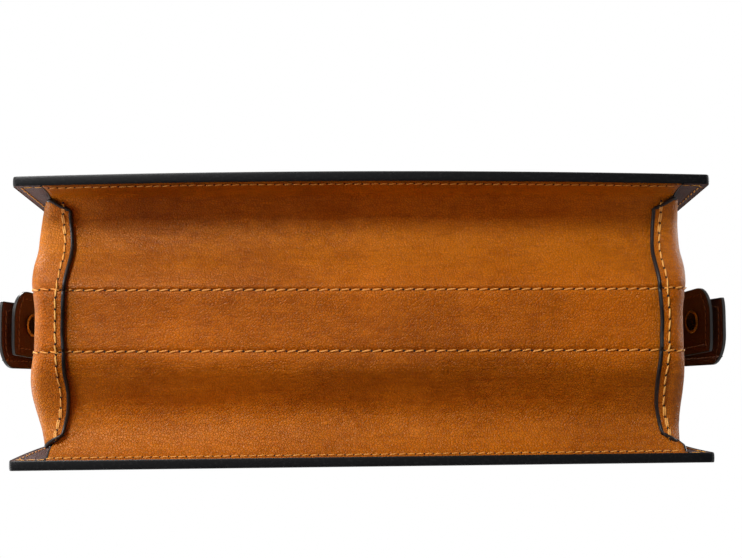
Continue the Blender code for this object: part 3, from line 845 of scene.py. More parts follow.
# --------------------------------------------------------------------------------------------------
# Dividers and base board: two soft leather walls, sewn along the flat strip and up the side gussets' middle,
# with painted top edges, and a loose fibre board lying between their feet.
def cut_ply(name, outline, ply, place, materials, body, round_over=0.35 * MM, segments=2):
    """A flat ply cut to an outline in its own x and y, from 0 to ply in its own z, its edge rounded over and
    painted."""
    made = bmesh.new()
    lower = made.faces.new([made.verts.new((x, y, 0)) for x, y in outline])
    raised = bmesh.ops.extrude_face_region(made, geom=[lower])["geom"]
    bmesh.ops.translate(made, vec=(0, 0, ply), verts=[v for v in raised if isinstance(v, bmesh.types.BMVert)])
    bmesh.ops.recalc_face_normals(made, faces=made.faces)
    rims = [e for e in made.edges if abs(e.verts[0].co.z - e.verts[1].co.z) < ply / 2]
    bmesh.ops.bevel(
        made, geom=rims, offset=round_over, segments=segments, profile=0.5, affect="EDGES", material=-1
    )
    made.normal_update()
    for face in made.faces:
        face.material_index = 0 if abs(face.normal.z) > 0.9 or len(materials) == 1 else 1
    bmesh.ops.transform(made, matrix=place, verts=made.verts)
    return bench_piece(name, made, materials, body)


def outline_of(half_width, low, high, radii, steps=6):
    """A rectangle's outline in x and y with its four corner radii, from bottom right and turning left."""
    outline = []
    corners = (
        (half_width, low, -1, 1, -pi / 2), (half_width, high, -1, -1, 0),
        (-half_width, high, 1, -1, pi / 2), (-half_width, low, 1, 1, pi),
    )
    for radius, (x, y, to_x, to_y, first) in zip(radii, corners):
        centre = (x + to_x * radius, y + to_y * radius)
        for step in range(steps + 1):
            angle = first + pi / 2 * step / steps
            outline.append((centre[0] + radius * cos(angle), centre[1] + radius * sin(angle)))
    return outline


def upright(x_axis, y_axis, z_axis, origin):
    """The placing matrix whose axes are these, at that origin."""
    columns = (x_axis, y_axis, z_axis, origin)
    return Matrix([[column[i] for column in columns] for i in range(3)] + [(0, 0, 0, 1)])


DIVIDER_PLY = 2.0 * MM
DIVIDER_CORNER = 9 * MM
for place_name in ("front", "rear"):
    low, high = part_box(f"divider_{place_name}")
    lean = (high.y - low.y - DIVIDER_PLY) / (high.z - low.z)
    wall = cut_ply(
        f"divider_{place_name}_leather",
        outline_of(high.x, low.z, high.z, (DIVIDER_CORNER,) * 4), DIVIDER_PLY,
        upright((1, 0, 0), (0, lean, 1), (0, -1, 0), (0, low.y + DIVIDER_PLY - lean * low.z, 0)),
        [lining_leather, black_paint], "root",
    )
    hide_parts(f"divider_{place_name}")


def fibre_board():
    """Grey-brown pressed leather board, matt, with short fibres lying every way in it."""
    made, tree, shader, spot = begun_material("pressed_fibre_board")
    fibres = add(
        tree, "ShaderNodeTexNoise", {},
        {"Vector": spot, "Scale": 1 / (0.9 * MM), "Detail": 4.0, "Roughness": 0.7, "Distortion": 2.0},
    ).outputs["Fac"]
    colour = add(
        tree, "ShaderNodeMix", {"data_type": "RGBA"}, {0: fibres, 6: linear("#6b5742"), 7: linear("#97846a")}
    ).outputs[2]
    shader.inputs["Roughness"].default_value = 0.85
    dress(tree, shader, colour, fibres, 0.4, 0.1 * MM)
    return made


board = frame["nodes"]["base_board"]
board.data.materials.clear()
board.data.materials.append(fibre_board())

# --------------------------------------------------------------------------------------------------
# Flap: one sheet of saddle leather, lined, sewn to the back panel in two rows, bent over the top and creased
# at the front. Its border is sewn through both plies, and its cut edge is painted.
FLAP_PLY = 2.5 * MM
FLAP_LINING_PLY = 1.8 * MM
flap_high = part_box("flap_panel")[1]
anchor_low, anchor_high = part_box("flap_anchor")
LEAN = radians(6.5)
FLAP_OUT = 5.4 * MM
FLAP_HALF = flap_high.x
FLAP_CORNER = 9 * MM
FLAP_FOOT = 98 * MM
BACK_BEND = 7.5 * MM
FRONT_BEND = 7.5 * MM


def front_point(height, out):
    """y and z on the front panel's outer face at this height, moved out along its normal."""
    return Vector((FRONT_Y + height * LEAN_SLOPE - out * cos(LEAN), height + out * sin(LEAN)))


def arc(centre, radius, first, last, steps):
    """Points round an arc, from the first angle to the last."""
    return [
        centre + radius * Vector((cos(a), sin(a)))
        for a in (first + (last - first) * step / steps for step in range(steps + 1))
    ]


flap_top = flap_high.z
front_line_top = front_point(flap_top, FLAP_OUT)
bend_reach = FRONT_BEND * tan((pi / 2 - LEAN) / 2)
corner_y = front_line_top.x - (front_line_top.y - flap_top) * LEAN_SLOPE
flap_section = [Vector((anchor_high.y, anchor_low.z)), Vector((anchor_high.y, anchor_low.z + 10 * MM))]
flap_section += arc(
    Vector((anchor_high.y - BACK_BEND, flap_top - BACK_BEND)), BACK_BEND, 0, pi / 2, 10
)
flap_section += [
    Vector((anchor_high.y - BACK_BEND - 2 * MM * step, flap_top)) for step in range(1, 6)
]
flap_section += arc(
    Vector((corner_y + bend_reach, flap_top - FRONT_BEND)), FRONT_BEND, pi / 2, pi - LEAN, 8
)
flap_section += [front_point(FLAP_FOOT, FLAP_OUT)]


def measured(section):
    """The distance along the section at each of its points."""
    runs = [0.0]
    for a, b in zip(section, section[1:]):
        runs.append(runs[-1] + (b - a).length)
    return runs


flap_runs = measured(flap_section)
FLAP_LENGTH = flap_runs[-1]


def along_section(section, runs, run):
    """The point, and the way out to its right, at this distance along the section."""
    for a, b, low, high in zip(section, section[1:], runs, runs[1:]):
        if run <= high or high == runs[-1]:
            way = (b - a).normalized()
            return a + way * (run - low), Vector((way.y, -way.x))
    return section[-1], Vector((0, 1))


def flap_at(x, run, lift=0.0):
    """A point on the flap's grain side, and its way out."""
    point, out = along_section(flap_section, flap_runs, run)
    way_out = Vector((0, out.x, out.y))
    sag = hand_worked(x, run, 0.5 * MM) * limited(run, 0.05, 0.12) * limited(FLAP_LENGTH - run, 0, 0.03)
    return Vector((x, point.x, point.y)) + way_out * (lift + sag), way_out


def corner_columns(half, corner, middle_steps, corner_steps=6):
    """x values across a sheet, close together in its rounded corners."""
    corner_xs = [half - corner + corner * sin(pi / 2 * i / corner_steps) for i in range(corner_steps + 1)]
    middle = [(half - corner) * (2 * i / middle_steps - 1) for i in range(1, middle_steps)]
    return [-x for x in reversed(corner_xs)] + middle + corner_xs


def sheet_end(x, half, corner, length):
    """How long the sheet is at x, where its end has rounded corners."""
    over = max(abs(x) - (half - corner), 0)
    return length - corner + sqrt(max(corner * corner - over * over, 0))


def bent_sheet(name, at, columns, ends, shares, materials, body, ply, offset=-1):
    """A sheet whose columns run between their two ends, laid by at(x, run) and given its ply."""
    made = bmesh.new()
    grid = []
    for x in columns:
        first, last = ends(x)
        grid.append([made.verts.new(at(x, first + (last - first) * share)) for share in shares])
    for left, right in zip(grid, grid[1:]):
        for i in range(len(shares) - 1):
            made.faces.new((left[i], left[i + 1], right[i + 1], right[i]))
    sheet = bench_piece(name, made, materials, body)
    give_ply(sheet, ply, offset)
    return sheet


def flap_span(start):
    """For each x, where a ply of the flap starts and where its rounded end is, as runs."""
    half, length = FLAP_HALF - PAINT_MARGIN, FLAP_LENGTH - PAINT_MARGIN
    return lambda x: (start, sheet_end(x, half, FLAP_CORNER, length))

HINGE_BLEND = ("root", "flap", (0, 82.6 * MM, 0), (0, 75.5 * MM, 0))
flap_shares = sorted({run / FLAP_LENGTH for run in flap_runs} | {step / 60 for step in range(61)})
flap_columns = corner_columns(FLAP_HALF - PAINT_MARGIN, FLAP_CORNER, 24)
flap_leather = bent_sheet(
    "flap_leather", lambda x, run: flap_at(x, run)[0], flap_columns,
    flap_span(0.0),
    flap_shares, [tan_leather, black_paint], HINGE_BLEND, FLAP_PLY,
)
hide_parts("flap_panel", "flap_anchor")
lining_start = 20 * MM + BACK_BEND * pi / 2 + 6 * MM
flap_lining = bent_sheet(
    "flap_lining_leather", lambda x, run: flap_at(x, run, -FLAP_PLY - 0.05 * MM)[0], flap_columns,
    flap_span(lining_start),
    [step / 90 for step in range(91)], [lining_leather, black_paint], "flap", FLAP_LINING_PLY,
)
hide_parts("flap_lining")


def flap_border(inset, corner):
    """(x, run) down one side of the flap, round its end and up the other side."""
    half = FLAP_HALF - inset
    last = FLAP_LENGTH - inset
    border = [(half, inset + (last - corner - inset) * step / 90) for step in range(91)]
    border += [
        (half - corner + corner * cos(a), last - corner + corner * sin(a))
        for a in (pi / 2 * step / 8 for step in range(1, 9))
    ]
    return border + [(-x, run) for x, run in reversed(border)]


rim = []
plies = FLAP_PLY + FLAP_LINING_PLY
border = flap_border(PAINT_MARGIN, FLAP_CORNER)
for i, (x, run) in enumerate(border):
    before, after = border[max(i - 1, 0)], border[min(i + 1, len(border) - 1)]
    doubled = plies if run > lining_start else FLAP_PLY
    here, up = flap_at(x, run)
    on = (flap_at(*after)[0] - flap_at(*before)[0]).normalized()
    rim.append((here - up * doubled / 2, on.cross(up).normalized(), up))
painted_edge("flap_edge_paint", rim, plies / 2, HINGE_BLEND, proud=0.4 * MM)
sewn = [flap_at(x, run, 0.05 * MM) for x, run in flap_border(EDGE_INSET, FLAP_CORNER - EDGE_INSET / 2)]
stitch_row("flap_border_stitching", sewn, HINGE_BLEND, gauge=0.9 * MM)
lined = [
    (here, -up)
    for here, up in (
        flap_at(x, run, -plies - 0.1 * MM)
        for x, run in flap_border(EDGE_INSET, FLAP_CORNER - EDGE_INSET / 2) if run > lining_start + 4 * MM
    )
]
stitch_row("flap_lining_stitching", lined, "flap", gauge=0.9 * MM)
seam_half = FLAP_HALF - EDGE_INSET
for row, run in (("low", EDGE_INSET), ("high", 14 * MM)):
    across = [flap_at(seam_half * (step / 20 - 1), run, 0.05 * MM) for step in range(41)]
    stitch_row(f"flap_seam_{row}", across, "root", gauge=0.9 * MM)

# --------------------------------------------------------------------------------------------------
# Closures: on each side a doubled strap sewn to the flap, run through a brass buckle and a keeper. The buckle
# stays done up; what opens is the magnetic snap between the strap's tip and the front panel.
STRAP_X = 105 * MM
STRAP_PLY = 3.0 * MM
STRAP_HALF = 13 * MM
STRAP_OUT = 5.7 * MM
BUCKLE_HEIGHT = 125 * MM
WIRE = 1.6 * MM
STRAP_FOOT = 56 * MM
STRAP_TOP = 245 * MM
STRAP_TIP = 12.5 * MM
HOLE_APART = 15 * MM
HOLE_HALF = 1.7 * MM
CHAPE_PLY = 2.0 * MM
KEEPER_HEIGHT = 102 * MM
KEEPER_TALL = 10 * MM
MAGNET_HEIGHT = 75 * MM
# The trim leather is the tan leather made darker: the darkening is painted shade, taken from the side tabs
# that hang in shade.
trim_leather = saddle_leather("shade_darkened_trim_leather", "#451806", "#80340c", 0.9, 0.36, "#ffd8b0", 0.6)


def cast_brass(name, polished, tarnished):
    """Aged yellow brass, cast and tumbled: warm, with brown tarnish in patches and fine scratches. Given
    near-black colours, as for the snap crowns, it is painted shade.
    """
    made, tree, shader, spot = begun_material(name)
    shader.inputs["Metallic"].default_value = 1.0
    tarnish = add(
        tree, "ShaderNodeTexNoise", {}, {"Vector": spot, "Scale": 1 / (4 * MM), "Detail": 4.0}
    ).outputs["Fac"]
    patches = add(
        tree, "ShaderNodeMapRange", {}, {"Value": tarnish, "From Min": 0.42, "From Max": 0.68}
    ).outputs[0]
    colour = add(
        tree, "ShaderNodeMix", {"data_type": "RGBA"}, {0: patches, 6: linear(polished), 7: linear(tarnished)}
    ).outputs[2]
    dulled = add(
        tree, "ShaderNodeMapRange", {}, {"Value": patches, "To Min": 0.24, "To Max": 0.46}
    ).outputs[0]
    tree.links.new(dulled, shader.inputs["Roughness"])
    drawn = add(tree, "ShaderNodeMapping", {}, {"Vector": spot, "Scale": (1.0, 0.15, 1.0)}).outputs[0]
    scratches = add(
        tree, "ShaderNodeTexNoise", {}, {"Vector": drawn, "Scale": 1 / (0.3 * MM), "Detail": 2.0}
    ).outputs["Fac"]
    dress(tree, shader, colour, scratches, 0.2, 0.03 * MM)
    return made


brass = cast_brass("aged_cast_brass", "#c29a4c", "#80602c")
UP_FRONT = Vector((0, sin(LEAN), cos(LEAN)))
OUT_FRONT = Vector((0, -cos(LEAN), sin(LEAN)))


def on_front(x, height, out):
    """The place whose x is the bag's, y is up the leaning front, and z is out of it."""
    y, z = front_point(height, out)
    return upright((1, 0, 0), UP_FRONT, OUT_FRONT, (x, y, z))


def sewn_outline(name, outline, ply, place, body, pitch):
    """A row of stitches round an outline on top of a ply that thick."""
    out = (place.to_3x3() @ Vector((0, 0, 1))).normalized()
    line = [(place @ Vector((x, y, ply)), out) for x, y in outline]
    stitch_row(name, line + line[:1], body, pitch=pitch, gauge=0.8 * MM, slant=8)


def wire_loop(name, half_width, half_tall, wire, corner, place, body, node):
    """A rectangular ring of round wire in its own x and y, with rounded corners."""
    rings = []
    for x, y, angle in [
        (cx + corner * cos(a), cy + corner * sin(a), a)
        for cx, cy, first in (
            (half_width - corner, corner - half_tall, -pi / 2), (half_width - corner, half_tall - corner, 0),
            (corner - half_width, half_tall - corner, pi / 2), (corner - half_width, corner - half_tall, pi),
        )
        for a in (first + pi / 2 * step / 6 for step in range(7))
    ]:
        way = Vector((cos(angle), sin(angle), 0))
        rings.append(
            [
                place @ (Vector((x, y, 0)) - way * wire + (way * cos(t) + Vector((0, 0, sin(t)))) * wire)
                for t in (2 * pi * step / 16 for step in range(16))
            ]
        )
    loop = bench_piece(name, lofted(rings, True), [brass], body, 50)
    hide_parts(node)


def turned(name, profile, place, material, body, node=None, sides=48):
    """A lathe-turned piece: (radius, height) from the middle of its back round to the middle of its face."""
    made = bmesh.new()
    points = [made.verts.new((radius, 0, height)) for radius, height in profile]
    edges = [made.edges.new(pair) for pair in zip(points, points[1:])]
    bmesh.ops.spin(
        made, geom=points + edges, cent=(0, 0, 0), axis=(0, 0, 1), angle=2 * pi, steps=sides, use_merge=True
    )
    bmesh.ops.remove_doubles(made, verts=made.verts, dist=0.00001)
    bmesh.ops.recalc_face_normals(made, faces=made.faces)
    bmesh.ops.transform(made, matrix=place, verts=made.verts)
    piece = bench_piece(name, made, [material], body, 40)
    if node:
        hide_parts(node)


def disc_profile(radius, ply, dish):
    """A stud's profile: a rolled rim round a dished middle."""
    edge = min(0.5 * MM, ply * 0.4)
    return [
        (0, 0), (radius - edge, 0), (radius, edge), (radius, ply - edge), (radius - edge, ply),
        (radius - 3 * edge, ply), (radius - 4 * edge, ply - dish), (radius * 0.35, ply - dish),
        (radius * 0.28, ply - dish * 0.3), (0, ply - dish * 0.2),
    ]


for hand, side in HANDS:
    x = side * STRAP_X
    strap_place = on_front(x, 0, STRAP_OUT)
    low, high = STRAP_FOOT / cos(LEAN), STRAP_TOP / cos(LEAN)
    strap = cut_ply(
        f"closure_strap_leather_{hand}",
        outline_of(STRAP_HALF, low, high, (STRAP_TIP, 4 * MM, 4 * MM, STRAP_TIP), 8), STRAP_PLY, strap_place,
        [trim_leather, black_paint], "flap", 0.6 * MM, 3,
    )
    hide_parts(f"closure_strap_{hand}")
    inset = 3.2 * MM
    sewn_outline(
        f"closure_strap_stitching_{hand}",
        outline_of(
            STRAP_HALF - inset, low + inset, high - inset, (9.5 * MM, 2 * MM, 2 * MM, 9.5 * MM), 8
        ),
        STRAP_PLY, strap_place, "flap", pitch=4.2 * MM,
    )
    # The strap's holes are flat dark discs: painted shade standing in for the holes.
    for hole in (-3, -2, -1, 1, 2):
        turned(
            f"strap_hole_{hand}_{hole + 3}",
            [(0, 0), (HOLE_HALF, 0), (HOLE_HALF, 0.08 * MM), (0, 0.08 * MM)],
            strap_place @ Matrix.Translation((0, (BUCKLE_HEIGHT + hole * HOLE_APART) / cos(LEAN), STRAP_PLY)),
            hole_shade_paint, "flap", sides=20,
        )
    wire_loop(
        f"buckle_frame_brass_{hand}", 18 * MM, 14 * MM, WIRE, 4.5 * MM,
        on_front(x, BUCKLE_HEIGHT, 9.0 * MM + WIRE), "flap", f"buckle_frame_{hand}",
    )
    prong_low = -14.6 * MM
    prong_place = on_front(x, BUCKLE_HEIGHT, 12.5 * MM)
    prong_rings = []
    for share in (0, 0.03, 0.08, 0.2, 0.5, 0.8, 1):
        along = prong_low + 25 * MM * share
        thick = 1.1 * MM * (0.35 + 0.65 * min(share / 0.08, 1) ** 0.5) * (1 - 0.12 * (share > 0.3))
        prong_rings.append(
            [
                prong_place @ Vector((thick * cos(t), along, 0.95 * MM + thick * 0.85 * sin(t)))
                for t in (2 * pi * step / 14 for step in range(14))
            ]
        )
    prong = bench_piece(f"buckle_prong_brass_{hand}", lofted(prong_rings), [brass], "flap", 50)
    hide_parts(f"buckle_prong_{hand}")
    chape_low, chape_high = 10.2 * MM, 34.6 * MM
    chape = cut_ply(
        f"buckle_chape_leather_{hand}",
        outline_of(10.5 * MM, chape_low, chape_high, (1.5 * MM, 6 * MM, 6 * MM, 1.5 * MM)), CHAPE_PLY,
        prong_place, [trim_leather, black_paint], "flap", 0.5 * MM, 3,
    )
    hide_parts(f"buckle_chape_{hand}")
    sewn_outline(
        f"buckle_chape_stitching_{hand}",
        outline_of(8.1 * MM, chape_low + 2.4 * MM, chape_high - 2.4 * MM, (1 * MM, 4 * MM, 4 * MM, 1 * MM)),
        CHAPE_PLY, prong_place, "flap", pitch=3.6 * MM,
    )
    band = []
    for half, top, corner in ((15.5 * MM, 5.5 * MM, 2.2 * MM), (13.4 * MM, 3.4 * MM, 0.6 * MM)):
        walls = [Vector((half, 0.1 * MM))] + arc(Vector((half - corner, top - corner)), corner, 0, pi / 2, 5)
        walls += [Vector((-p.x, p.y)) for p in reversed(walls)]
        band.append(walls)
    outline = band[0] + band[1][::-1]
    keeper_place = on_front(x, KEEPER_HEIGHT, STRAP_OUT)
    across_keeper = upright((1, 0, 0), (0, 0, 1), (0, -1, 0), (0, KEEPER_TALL / 2, 0))
    keeper = cut_ply(
        f"strap_keeper_leather_{hand}", [(p.x, p.y) for p in outline], KEEPER_TALL,
        keeper_place @ across_keeper, [black_paint, trim_leather], "flap", 0.4 * MM,
    )
    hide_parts(f"strap_keeper_{hand}")
    turned(
        f"magnet_cap_brass_{hand}", disc_profile(9 * MM, 2.2 * MM, 0.5 * MM),
        on_front(x, MAGNET_HEIGHT, STRAP_OUT - 0.3 * MM) @ Matrix.Rotation(pi, 4, "X"), brass, "flap",
        f"magnet_cap_{hand}",
    )
    turned(
        f"magnet_socket_brass_{hand}", disc_profile(9 * MM, 2.2 * MM, 0.5 * MM),
        on_front(x, MAGNET_HEIGHT, 0.3 * MM), brass, "root", f"magnet_socket_{hand}",
    )

# --------------------------------------------------------------------------------------------------
# Handle: a chape sewn to the flap on each side holds the bar of a brass ring. Each ring's other bar carries
# the leather loop that the rolled grip ends in.
HANDLE_Y = 18 * MM
HANDLE_X = 72 * MM
RING_RISE = 18 * MM
HUMP = 4.2 * MM
BAR_LEVEL = flap_top + 0.3 * MM + HUMP


def offset_line(points, distance):
    """The 2D line moved to the left of its way."""
    moved = []
    for i, point in enumerate(points):
        way = way_at(points, i)
        moved.append(point + Vector((-way.y, way.x)) * distance)
    return moved


def folded_ply(name, path, ply, width, place, body, node):
    """A strip of leather bent along a path in its own y and z, as wide as that in its own x."""
    outline = offset_line(path, ply / 2) + offset_line(path, -ply / 2)[::-1]
    across = upright((0, 1, 0), (0, 0, 1), (1, 0, 0), (-width / 2, 0, 0))
    strip = cut_ply(
        name, [(p.x, p.y) for p in outline], width, place @ across, [black_paint, trim_leather], body,
        0.35 * MM,
    )
    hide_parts(node)


for hand, side in HANDS:
    x = side * HANDLE_X
    chape_place = Matrix.Translation((x, HANDLE_Y, BAR_LEVEL))
    tail_z = 1.1 * MM - HUMP
    rise = [
        Vector((-17 * MM, tail_z)), Vector((-8 * MM, tail_z)), Vector((-5.4 * MM, tail_z + 0.5 * MM)),
        Vector((-4.0 * MM, -0.9 * MM)),
    ]
    over = arc(Vector((0, 0)), -tail_z, pi - 0.15, 0.15, 10)
    path = smooth_path(rise, 3) + over + [Vector((-p.x, p.y)) for p in reversed(smooth_path(rise, 3))]
    folded_ply(
        f"handle_chape_leather_{hand}", path, 2.0 * MM, 26 * MM, chape_place, "flap", f"handle_chape_{hand}"
    )
    for end in (-1, 1):
        top = Matrix.Translation((x, HANDLE_Y + end * 11.4 * MM, BAR_LEVEL + tail_z + 1.05 * MM))
        sewn_outline(
            f"handle_chape_stitching_{hand}_{'front' if end < 0 else 'back'}",
            outline_of(10.6 * MM, -3.4 * MM, 3.4 * MM, (0.8 * MM,) * 4, 2), 0.0, top, "flap", pitch=3.6 * MM,
        )
    ring_place = upright((1, 0, 0), (0, 0, 1), (0, -1, 0), (x, HANDLE_Y, BAR_LEVEL + RING_RISE / 2))
    wire_loop(
        f"handle_ring_brass_{hand}", 18 * MM, RING_RISE / 2 + WIRE, WIRE, 4 * MM, ring_place, "handle",
        f"handle_ring_{hand}",
    )
    loop_place = Matrix.Translation((x, HANDLE_Y, BAR_LEVEL + RING_RISE))
    strand = [Vector((-3.4 * MM, 11 * MM)), Vector((-3.3 * MM, 5 * MM)), Vector((-3.0 * MM, 1.5 * MM))]
    under = arc(Vector((0, 0)), 2.9 * MM, pi + 0.2, 2 * pi - 0.2, 8)
    path = strand + under + [Vector((-p.x, p.y)) for p in reversed(strand)]
    folded_ply(
        f"handle_loop_leather_{hand}", path, 1.8 * MM, 25 * MM, loop_place, "handle", f"handle_loop_{hand}"
    )

grip_foot = BAR_LEVEL + RING_RISE + 10.2 * MM
grip_top = flap_top + 50 * MM
half_arch = smooth_path(
    [
        Vector((HANDLE_X, grip_foot)), Vector((HANDLE_X - 0.6 * MM, grip_foot + 5 * MM)),
        Vector((HANDLE_X - 6.5 * MM, grip_top - 5.0 * MM)), Vector((HANDLE_X - 20 * MM, grip_top - 1.4 * MM)),
        Vector((HANDLE_X - 40 * MM, grip_top - 0.3 * MM)), Vector((0, grip_top)),
    ],
    8,
)
arch = [Vector((-p.x, p.y)) for p in half_arch] + half_arch[-2::-1]
arch_runs = measured(arch)
GRIP_ROUND = 6.0 * MM
GRIP_END_WIDE = 12.2 * MM
GRIP_END_DEEP = 3.9 * MM
SEAM_ANGLE = pi * 1.18

def grip_station(i):
    """The grip's middle there, its way out of the arch and its half sizes: flat at its ends, else round."""
    way = way_at(arch, i)
    rolled = eased(min(arch_runs[i], arch_runs[-1] - arch_runs[i]), 1 * MM, 17 * MM)
    wide = GRIP_END_WIDE + (GRIP_ROUND - GRIP_END_WIDE) * rolled
    deep = GRIP_END_DEEP + (GRIP_ROUND - GRIP_END_DEEP) * rolled
    return Vector((arch[i].x, HANDLE_Y, arch[i].y)), Vector((-way.y, 0, way.x)), wide, deep

rings = []
for i in range(len(arch)):
    middle, out, wide, deep = grip_station(i)
    blunt = 0.93 if i in (0, len(arch) - 1) else 1
    rings.append(
        [
            middle + (out * cos(t) * wide + Vector((0, 1, 0)) * sin(t) * deep) * blunt
            for t in (2 * pi * step / 28 for step in range(28))
        ]
    )
grip = bench_piece("handle_grip_leather", lofted(rings), [trim_leather], "handle", 50)
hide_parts("handle_grip")
for face, turn in (("front", -1), ("back", 1)):
    sewn = []
    for i, run in enumerate(arch_runs):
        if min(run, arch_runs[-1] - run) < 3 * MM:
            continue
        middle, out, wide, deep = grip_station(i)
        above = out * cos(SEAM_ANGLE)
        beside = Vector((0, 1, 0)) * abs(sin(SEAM_ANGLE)) * turn
        lie = (above / wide + beside / deep).normalized()
        sewn.append((middle + above * wide + beside * deep, lie))
    stitch_row(f"handle_grip_stitching_{face}", sewn, "handle", pitch=5 * MM, gauge=0.9 * MM)

# --------------------------------------------------------------------------------------------------
# Side rings and snap tabs: a chape on each gusset holds a brass ring, and a strap doubled over the ring's
# other bar hangs below it, its two ends held together by a brass snap.
BAR_REACH = 190.8 * MM
BAR_HIGH = 224.5 * MM
BAR_LOW = 205.5 * MM
MID_SLOPE = LEAN_SLOPE / 2
SIDE_Y = MID_SLOPE * BAR_HIGH
SIDE_CHAPE_WIDE = 34 * MM
RING_HALF = 23.1 * MM
FLARE = radians(14.8)
TAB_SHIFT = {-1: -2.4 * MM, 1: -3.4 * MM}
TAB_HALF = 20.5 * MM
TAB_PLY = 2.0 * MM
TAB_INSET = 4.4 * MM
TAB_ROUND = 15 * MM
SEWN_SHARE = 0.42
INNER_LENGTH = 132 * MM
OUTER_LENGTH = 138 * MM
FOLD_DROP = 20 * MM
PLY_SPREAD = 2.8 * MM
FOLD_RADIUS = 3.6 * MM
ENDS_APART = 4.2 * MM
SNAP_RUN = 20 * MM
SNAP_RIM = 1.5 * MM
# The tabs' leather, thread and snap crown are drawn far darker than the rest: painted shade for tabs that hang
# in the shade of the bag.
shade_darkened_brass = cast_brass("shade_darkened_brass", "#2e2010", "#120c06")
tab_shade_thread = waxed_thread("shade_darkened_waxed_thread", "#6e3a12", "#a8662a", "#5e3010")
tab_leather = saddle_leather("shade_darkened_tab_leather", "#1f0702", "#4a1705", 0.9, 0.36, "#ffd8b0", 0.6)

tab_section = [Vector((-PLY_SPREAD, -INNER_LENGTH)), Vector((-FOLD_RADIUS, -FOLD_DROP))]
tab_section += arc(Vector((0, 0)), FOLD_RADIUS, pi, 0, 12)
tab_section += [Vector((FOLD_RADIUS, -FOLD_DROP)), Vector((PLY_SPREAD, -OUTER_LENGTH))]
tab_runs = measured(tab_section)
TAB_LENGTH = tab_runs[-1]

def flared(flat):
    """x and z of a point or way in the tab's flat section, tilted away from the bag by the flare."""
    return flat.x * cos(FLARE) - flat.y * sin(FLARE), flat.x * sin(FLARE) + flat.y * cos(FLARE)

def tab_at(side, across, run, lift=0.0):
    """A point of the tab, across from its middle line and along from its inner end, and its way out."""
    flat, inwards = along_section(tab_section, tab_runs, run)
    from_fold = (run - TAB_LENGTH / 2) / (TAB_LENGTH / 2)
    shift = ENDS_APART * from_fold + TAB_SHIFT[side] * abs(from_fold)
    x, z = flared(flat - inwards * lift)
    way_x, way_z = flared(-inwards)
    y = SIDE_Y + across + shift + MID_SLOPE * z
    return Vector((side * (BAR_REACH + x), y, BAR_LOW + z)), Vector((side * way_x, 0, way_z))

def tab_ends(across):
    """The runs of the tab's two ends at this distance from its middle line. Each end is well rounded at one
    corner and eased at the other."""
    share = across / TAB_HALF
    cut_back = []
    for toward in (-share, share):
        rounded = TAB_ROUND * (1 - sqrt(max(1 - max(toward - 0.1, 0) ** 2 / 0.81, 0)))
        cut_back.append(rounded + 1.5 * MM * max(-toward, 0) ** 6)
    return cut_back[0], TAB_LENGTH - cut_back[1]

def tab_edge(across, first, last):
    """(across, run) along one long edge of the tab, short of its ends."""
    return [(across, first + (last - first) * i / 100) for i in range(1, 100)]

def tab_row(end):
    """(across, run) of the stitches on one end of the tab: down an edge, across the end, up the other edge."""
    reach = TAB_HALF - TAB_INSET
    row = []
    for edge in (-1, 1):
        for step in range(25):
            share = step / 24 if edge < 0 else 1 - step / 24
            run = TAB_LENGTH * (SEWN_SHARE + (TAB_INSET / TAB_LENGTH - SEWN_SHARE) * share)
            row.append((edge * reach, max(run, tab_ends(edge * reach)[0] + TAB_INSET * 0.9)))
        if edge > 0:
            continue
        for step in range(1, 24):
            across = reach * (step / 12 - 1)
            low, high = tab_ends(across)
            row.append((across, (low if end == "short" else TAB_LENGTH - high) + TAB_INSET))
    return row if end == "short" else [(across, TAB_LENGTH - run) for across, run in row]

tab_columns = [TAB_HALF * sin(pi / 2 * (i / 12 - 1)) for i in range(25)]
low_end, high_end = tab_ends(TAB_HALF)
tab_rim = [(c, tab_ends(c)[0]) for c in tab_columns] + tab_edge(TAB_HALF, low_end, high_end)
low_end, high_end = tab_ends(-TAB_HALF)
tab_rim += [(c, tab_ends(c)[1]) for c in reversed(tab_columns)] + tab_edge(-TAB_HALF, high_end, low_end)

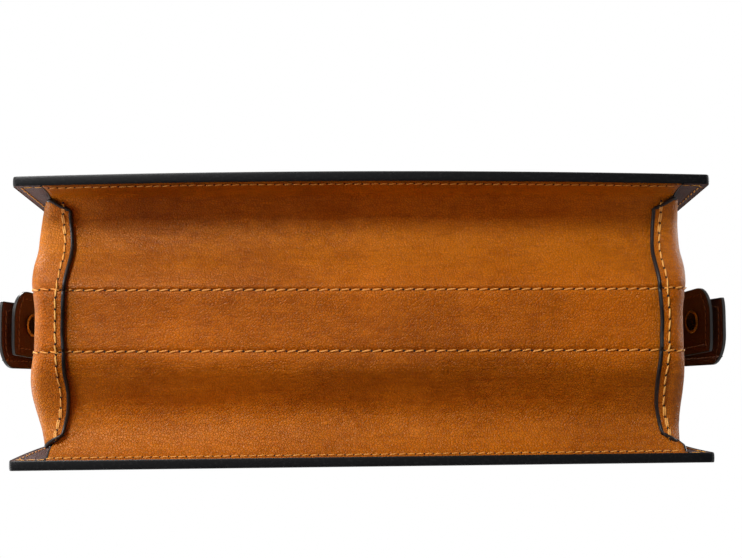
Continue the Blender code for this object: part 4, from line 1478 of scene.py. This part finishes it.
for hand, side in HANDS:
    body = f"tab_{hand}"
    chape_place = upright((0, 1, 0), (0, MID_SLOPE, 1), (side, 0, 0), (side * BAR_REACH, SIDE_Y, BAR_HIGH))
    tail_out = 1.0 * MM - HUMP
    tail = [
        Vector((38 * MM, tail_out)), Vector((12 * MM, tail_out)), Vector((6.5 * MM, tail_out + 0.7 * MM)),
        Vector((3.8 * MM, 0.6 * MM)),
    ]
    path = smooth_path(tail, 3) + arc(Vector((0, 0)), -tail_out, 0.5, -pi * 1.02, 14)
    folded_ply(
        f"side_chape_leather_{hand}", path, TAB_PLY, SIDE_CHAPE_WIDE, chape_place, "root",
        f"side_chape_{hand}",
    )
    sewn_outline(
        f"side_chape_stitching_{hand}", outline_of(14 * MM, 11 * MM, 35 * MM, (1 * MM,) * 4, 2), 0.0,
        chape_place @ Matrix.Translation((0, 0, tail_out + 1.05 * MM)), "root", pitch=4 * MM,
    )
    ring_place = upright(
        (0, 1, 0), (0, 0, 1), (1, 0, 0), (side * BAR_REACH, SIDE_Y, (BAR_HIGH + BAR_LOW) / 2)
    )
    wire_loop(
        f"side_ring_brass_{hand}", RING_HALF, (BAR_HIGH - BAR_LOW) / 2 + WIRE, WIRE, 4 * MM, ring_place,
        f"ring_{hand}", f"side_ring_{hand}",
    )
    tab = bent_sheet(
        f"side_tab_leather_{hand}", lambda across, run: tab_at(side, across, run)[0], tab_columns, tab_ends,
        [step / 120 for step in range(121)], [tab_leather, black_paint], body, TAB_PLY, 0,
    )
    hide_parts(f"side_tab_{hand}")
    rim = []
    for i, (across, run) in enumerate(tab_rim):
        here, way = tab_at(side, across, run)
        before = tab_at(side, *tab_rim[i - 1])[0]
        after = tab_at(side, *tab_rim[(i + 1) % len(tab_rim)])[0]
        rim.append((here, (after - before).normalized().cross(way).normalized() * side, way))
    painted_edge(f"side_tab_edge_paint_{hand}", rim, TAB_PLY / 2, body, closed=True, proud=0.5 * MM)
    for face, lift in (("outer", 1), ("inner", -1)):
        for end in ("short", "long"):
            line = []
            for across, run in tab_row(end):
                here, way = tab_at(side, across, run, lift * (TAB_PLY / 2 + 0.05 * MM))
                line.append((here, way * lift))
            stitch_row(
                f"side_tab_stitching_{hand}_{face}_{end}", line, body, pitch=4.5 * MM, gauge=0.7 * MM,
                material=tab_shade_thread,
            )
    for piece, lift, radius, ply, node in (
        ("snap_cap_brass", TAB_PLY / 2 + 0.3 * MM, 7.5 * MM, 1.2 * MM, f"snap_cap_{hand}"),
        ("snap_socket_brass", -TAB_PLY / 2 - 0.3 * MM, 6.5 * MM, 2.6 * MM, f"snap_socket_{hand}"),
    ):
        here, way = tab_at(side, 0, SNAP_RUN, lift)
        way = way if lift > 0 else -way
        lie = Vector((0, 1, 0))
        place = upright(lie, way.cross(lie), way, here)
        turned(f"{piece}_{hand}", disc_profile(radius, ply, 0.35 * MM), place, brass, body, node)
        if lift > 0:
            crown_half = radius - SNAP_RIM
            domed = [
                (0, 0), (crown_half, 0), (crown_half, 0.25 * MM), (radius * 0.5, 0.5 * MM), (0, 0.6 * MM),
            ]
            crown_place = upright(lie, way.cross(lie), way, here + way * (ply - 0.45 * MM))
            # The crown's near-black brass is painted shade.
            turned(f"snap_cap_crown_{hand}", domed, crown_place, shade_darkened_brass, body)
